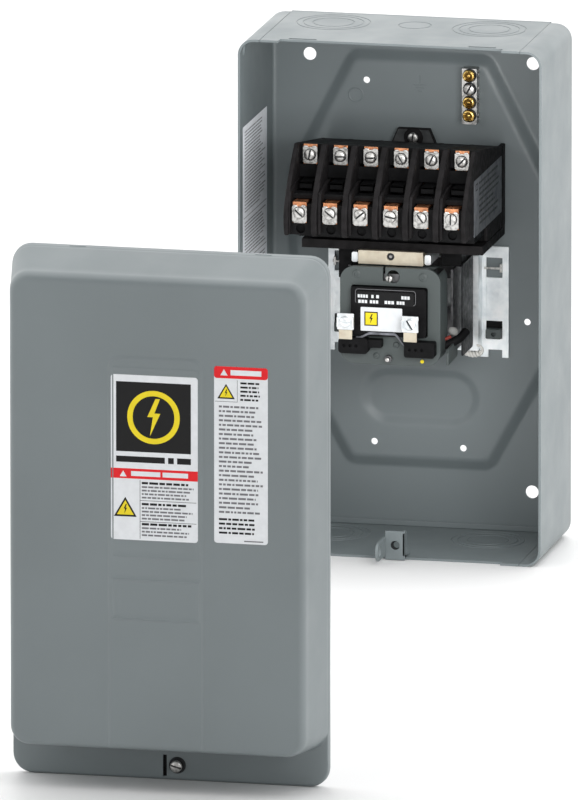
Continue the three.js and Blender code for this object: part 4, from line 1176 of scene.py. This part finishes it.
# ---------------------------------------------------------------- printed labels
class Label:
    """Layers of flat print on a thin film: origin at its lower left corner, in the plane of two axes."""

    def __init__(self, origin, right, up, width, height, film, radius=1.5, thickness=0.12):
        self.origin, self.right, self.up = Vector(origin), Vector(right), Vector(up)
        self.out = self.right.cross(self.up)
        self.vertices, self.faces, self.inks, self.owner = [], [], [film], []
        outline = rounded(0, width, 0, height, radius, 5)
        self.level = thickness
        self.vertices += [self.at(u, v, out) for out in (0.0, thickness) for u, v in outline]
        self.faces += bands(len(outline), 2)
        self.owner += [0] * len(self.faces)

    def at(self, u, v, out):
        return tuple(self.origin + self.right * u + self.up * v + self.out * out)

    def shape(self, ink, points, layer=1):
        if ink not in self.inks:
            self.inks.append(ink)
        start = len(self.vertices)
        self.vertices += [self.at(u, v, self.level + 0.04 * layer) for u, v in points]
        self.faces.append(list(range(start, start + len(points))))
        self.owner.append(self.inks.index(ink))

    def bar(self, ink, u0, u1, v0, v1, layer=1):
        self.shape(ink, [(u0, v0), (u1, v0), (u1, v1), (u0, v1)], layer)

    def words(self, ink, u0, u1, top, size, pitch, count, seed):
        """Rows of short bars that stand for lines of print."""
        draw = random.Random(seed)
        for row in range(count):
            v = top - row * pitch
            end = u1 - draw.random() * 0.3 * (u1 - u0)
            u = u0
            while u < end:
                length = min(end - u, size * draw.uniform(1.0, 4.2))
                if length > 0.4 * size:
                    self.bar(ink, u, u + length, v - size, v)
                u += length + 0.55 * size

    def bolt(self, ink, u, v, size, layer=3):
        points = [(0.10, 1.0), (-0.34, 0.02), (-0.04, 0.02), (-0.20, -1.0)]
        points += [(0.36, 0.22), (0.04, 0.22), (0.34, 1.0)]
        self.shape(ink, [(u + size * a, v + size * b) for a, b in points], layer)

    def triangle(self, ink, u, v, size, layer):
        rise = 0.86 * size
        self.shape(ink, [(u - size, v - rise), (u + size, v - rise), (u, v + rise)], layer)

    def hazard(self, u, v, size):
        self.triangle(BLACK_INK, u, v, size, 2)
        self.triangle(YELLOW_INK, u, v - 0.06 * size, 0.74 * size, 3)
        self.bolt(BLACK_INK, u, v - 0.18 * size, 0.42 * size, 4)

    def made(self, name, body):
        obj = raw(name, (self.vertices, self.faces))
        for ink in self.inks:
            obj.data.materials.append(ink)
        for face, owner in zip(obj.data.polygons, self.owner):
            face.material_index = owner
        return settled(obj, body)


RIGHT, UP = (1, 0, 0), (0, 0, 1)


def cover_label():
    y = COVER_FRONT - PANEL_RISE - 0.02
    label = Label((-30.0, y, 169.5), RIGHT, UP, 58.0, 110.0, WHITE, 2.0)
    label.bar(BLACK_INK, 3.5, 53.4, 58.9, 105.4)
    label.shape(YELLOW_INK, rounded(11.0, 46.0, 64.5, 100.0, 17.4, 10), 2)
    label.shape(BLACK_INK, rounded(14.6, 42.4, 68.1, 96.4, 13.8, 10), 3)
    label.bolt(YELLOW_INK, 28.6, 82.2, 12.5, 4)
    for left, right in ((3.5, 36.0), (38.2, 42.0), (44.2, 53.4)):
        label.bar(BLACK_INK, left, right, 51.8, 55.8)
    label.bar(RED_INK, 0.0, 58.0, 40.9, 47.6)
    label.triangle(WHITE, 8.2, 44.1, 2.3, 2)
    label.bar(WHITE, 13.5, 33.0, 42.7, 45.9, 2)
    label.bar(WHITE, 34.5, 51.5, 42.7, 45.9, 2)
    label.hazard(9.6, 22.0, 7.6)
    label.bar(BLACK_INK, 19.3, 19.6, 1.0, 40.2)
    for number, top in enumerate((39.0, 25.0, 11.6)):
        label.words(BLACK_INK, 20.6, 56.5, top, 1.5, 2.6, 1, 11 + number)
        label.words(GREY_INK, 20.6, 57.0, top - 2.8, 1.15, 2.35, 4 if number < 2 else 3, 21 + number)
        if number < 2:
            label.bar(BLACK_INK, 19.6, 57.0, top - 12.6, top - 12.3)
    label.made("cover_main_label", "cover")


def cover_side_label():
    label = Label((38.7, COVER_FRONT - 0.02, 170.2), RIGHT, UP, 35.8, 117.7, WHITE, 2.0)
    label.shape(RED_INK, rounded(0.0, 35.8, 109.8, 117.7, 1.9, 5))
    label.triangle(WHITE, 6.6, 113.8, 2.4, 2)
    label.bar(WHITE, 11.0, 31.5, 112.0, 115.5, 2)
    left, right, low, high = 0.7, 15.6, 94.2, 108.8
    label.bar(BLACK_INK, left, right, low, low + 0.25)
    label.bar(BLACK_INK, right - 0.25, right, low, high)
    label.hazard(8.0, 101.2, 5.8)
    label.words(BLACK_INK, 17.5, 33.0, 107.6, 1.25, 2.75, 5, 5)
    label.words(GREY_INK, 3.2, 32.5, 91.6, 1.35, 3.05, 24, 7)
    label.words(BLACK_INK, 3.2, 28.5, 16.6, 1.35, 3.0, 4, 8)
    label.bar(GREY_INK, 20.0, 32.8, 1.4, 2.2)
    label.made("cover_side_label", "cover")


def wall_label():
    x = -HALF + SHEET + 0.05
    label = Label((x, -42.5, 171.0), (0, 1, 0), UP, 73.5, 122.0, WALL_LABEL, 1.0)
    for number, (top, rows) in enumerate(((118.0, 25), (55.0, 11), (25.0, 9))):
        label.words(GREY_INK, 5.0, 69.0, top, 0.9, 2.3, rows, 30 + number)
    label.bar(GREY_INK, 2.0, 71.5, 58.0, 58.5)
    label.bar(GREY_INK, 2.0, 71.5, 28.0, 28.5)
    label.made("enclosure_wall_label", "enclosure")


def nameplate():
    x = pole_x(6) + POLE_HALF + 0.02
    label = Label((x, -56.0, 227.0), (0, 1, 0), UP, 88.0, 39.0, FOIL, 0.8)
    label.words(BLACK_INK, 16.0, 80.0, 35.5, 1.6, 4.0, 8, 3)
    label.bar(BLACK_INK, 5.0, 12.0, 31.0, 36.0)
    label.bar(FOIL, 6.4, 10.6, 32.0, 35.0, 2)
    label.made("contactor_nameplate", "enclosure")


def coil_label():
    label = Label((-21.8, COIL_FRONT - 0.02, 156.4), RIGHT, UP, 28.8, 16.4, WHITE, 0.6)
    label.bar(BLACK_INK, 2.6, 12.0, 3.6, 13.4)
    label.bar(YELLOW_INK, 3.4, 11.2, 4.4, 12.6, 2)
    label.bolt(BLACK_INK, 7.3, 8.5, 3.3, 3)
    label.made("coil_label", "enclosure")
    ratings = Label((-25.0, COIL_FRONT - 0.02, 174.6), RIGHT, UP, 40.0, 9.0, BLACK_INK, 1.6)
    rows = (
        (4.7, ((1.2, 8.6), (10.6, 12.6), (14.0, 16.4), (31.4, 37.6))),
        (1.0, ((1.6, 8.2), (9.6, 15.8), (19.8, 26.8), (28.2, 34.0))),
    )
    for level, groups in rows:
        for left, right in groups:
            count = max(1, round((right - left) / 2.1))
            step = (right - left) / count
            for i in range(count):
                ratings.bar(WHITE, left + i * step, left + (i + 0.8) * step, level, level + 2.2)
    ratings.made("coil_ratings_print", "enclosure")


def pressed_marks():
    """Round dimple and ground symbol pressed in the raised field."""
    face = WALL
    profile = [(4.0, face + 0.2), (4.4, face - 0.35), (5.2, face - 0.35), (5.6, face + 0.2)]
    vertices, faces = lathe(profile, "Y", (-44.4, 0, 300.8), 40)
    piece("pressed_dimple", (vertices, faces[:-2]), PAINT, angle=60)
    strokes = [block(-0.4, 0.4, face - 0.3, face + 0.2, 309.5, 316.0)]
    for width, z in ((4.6, 309.0), (3.0, 306.8), (1.4, 304.6)):
        strokes.append(block(-width, width, face - 0.3, face + 0.2, z, z + 0.8))
    piece("pressed_ground_symbol", merged(*strokes), PAINT, bevel=0.2, segments=2)


# ---------------------------------------------------------------- camera, light and floor
CAMERA_DISTANCE = 18000.0
CAMERA_AZIMUTH = 12.635
CAMERA_ELEVATION = 12.467
CAMERA_RIGHT = -90.1
CAMERA_UP = -86.7
PIXELS_PER_MM = 1.4708
AIM = Vector((0.0, BACK, HEIGHT / 2))
SENSOR = 36.0
LONG_SIDE = 800
CLIP_NEAR, CLIP_FAR = 0.01, 200.0
FLOOR_REACH = 60000


def camera():
    azimuth, elevation = math.radians(CAMERA_AZIMUTH), math.radians(CAMERA_ELEVATION)
    level = math.cos(elevation)
    back = Vector((math.sin(azimuth) * level, -math.cos(azimuth) * level, math.sin(elevation)))
    right = Vector((math.cos(azimuth), math.sin(azimuth), 0.0))
    up = back.cross(right)
    data = bpy.data.cameras.new("camera")
    data.sensor_fit = "AUTO"
    data.sensor_width = SENSOR
    data.lens = PIXELS_PER_MM * CAMERA_DISTANCE * SENSOR / LONG_SIDE
    data.clip_start = CLIP_NEAR
    data.clip_end = CLIP_FAR
    obj = bpy.data.objects.new("camera", data)
    bpy.context.collection.objects.link(obj)
    turn = Matrix((right, up, back)).transposed().to_4x4()
    place = AIM + back * CAMERA_DISTANCE + right * CAMERA_RIGHT + up * CAMERA_UP
    obj.matrix_world = Matrix.Translation(place * MM) @ turn
    bpy.context.scene.camera = obj


def floor():
    finish = Finish("pale_floor", 0.5, 0.0, 0.5)
    finish.colour(finish.noise(3.0, 2.0), [(0.3, (0.79, 0.79, 0.79)), (0.7, (0.81, 0.81, 0.81))])
    finish.bump(finish.noise(60.0, 2.0), 0.02, 0.001)
    corners = [(a * FLOOR_REACH, b * FLOOR_REACH, 0) for a, b in ((-1, -1), (1, -1), (1, 1), (-1, 1))]
    raw("floor", (corners, [[0, 1, 2, 3]]), finish.material)


def light(name, kind, energy):
    data = bpy.data.lights.new(name, kind)
    data.energy = energy
    obj = bpy.data.objects.new(name, data)
    bpy.context.collection.objects.link(obj)
    return obj


def sun(name, direction, strength, spread):
    obj = light(name, "SUN", strength)
    obj.data.angle = math.radians(spread)
    obj.rotation_euler = Vector(direction).to_track_quat("Z", "Y").to_euler()


def panel_light(name, place, aim, width, height, power):
    """A soft rectangular panel that shines from its place towards a point."""
    obj = light(name, "AREA", power)
    obj.data.shape = "RECTANGLE"
    obj.data.size = width * MM
    obj.data.size_y = height * MM
    obj.visible_camera = False
    obj.location = Vector(place) * MM
    obj.rotation_euler = (Vector(place) - Vector(aim)).to_track_quat("Z", "Y").to_euler()


def world(front, around):
    """White surroundings, dimmer in front of the object than beside, above and behind it."""
    surroundings = bpy.data.worlds.new("studio")
    surroundings.use_nodes = True
    nodes, links = surroundings.node_tree.nodes, surroundings.node_tree.links
    split = nodes.new("ShaderNodeSeparateXYZ")
    links.new(nodes.new("ShaderNodeTexCoord").outputs["Generated"], split.inputs["Vector"])
    level = nodes.new("ShaderNodeMapRange")
    level.inputs["From Min"].default_value = -0.75
    level.inputs["From Max"].default_value = -0.25
    level.inputs["To Min"].default_value = front
    level.inputs["To Max"].default_value = around
    links.new(split.outputs["Y"], level.inputs["Value"])
    links.new(level.outputs["Result"], nodes["Background"].inputs["Strength"])
    nodes["Background"].inputs["Color"].default_value = (1, 1, 1, 1)
    bpy.context.scene.world = surroundings


def studio():
    bpy.context.scene.view_settings.view_transform = "Standard"
    world(0.0, 1.73)
    sun("left_key", (-0.53, -0.85, 0.30), 0.35, 24)
    sun("right_fill", (0.53, -0.85, 0.30), 0.50, 24)
    panel_light("box_panel", (170, -430, 330), (-40, 40, 230), 420, 160, 1.33)


camera()
floor()
studio()
enclosure_shell()
end_plates()
hasp_bracket()
pressed_marks()
cover_shell()
cover_screw()
ground_bar()
base_ear_and_screw()
mounting_plate()
poles()
moving_parts()
return_spring()
magnet_clamp()
coil()
# The left terminal's slot floor is zinc like its head; the right one's is dark steel, painted shade.
coil_terminal("left", -31.2, 90, ZINC)
coil_terminal("right", 13.6, -32, DARK_STEEL)
side_mouldings()
coil_leads()
cover_label()
cover_side_label()
wall_label()
nameplate()
coil_label()
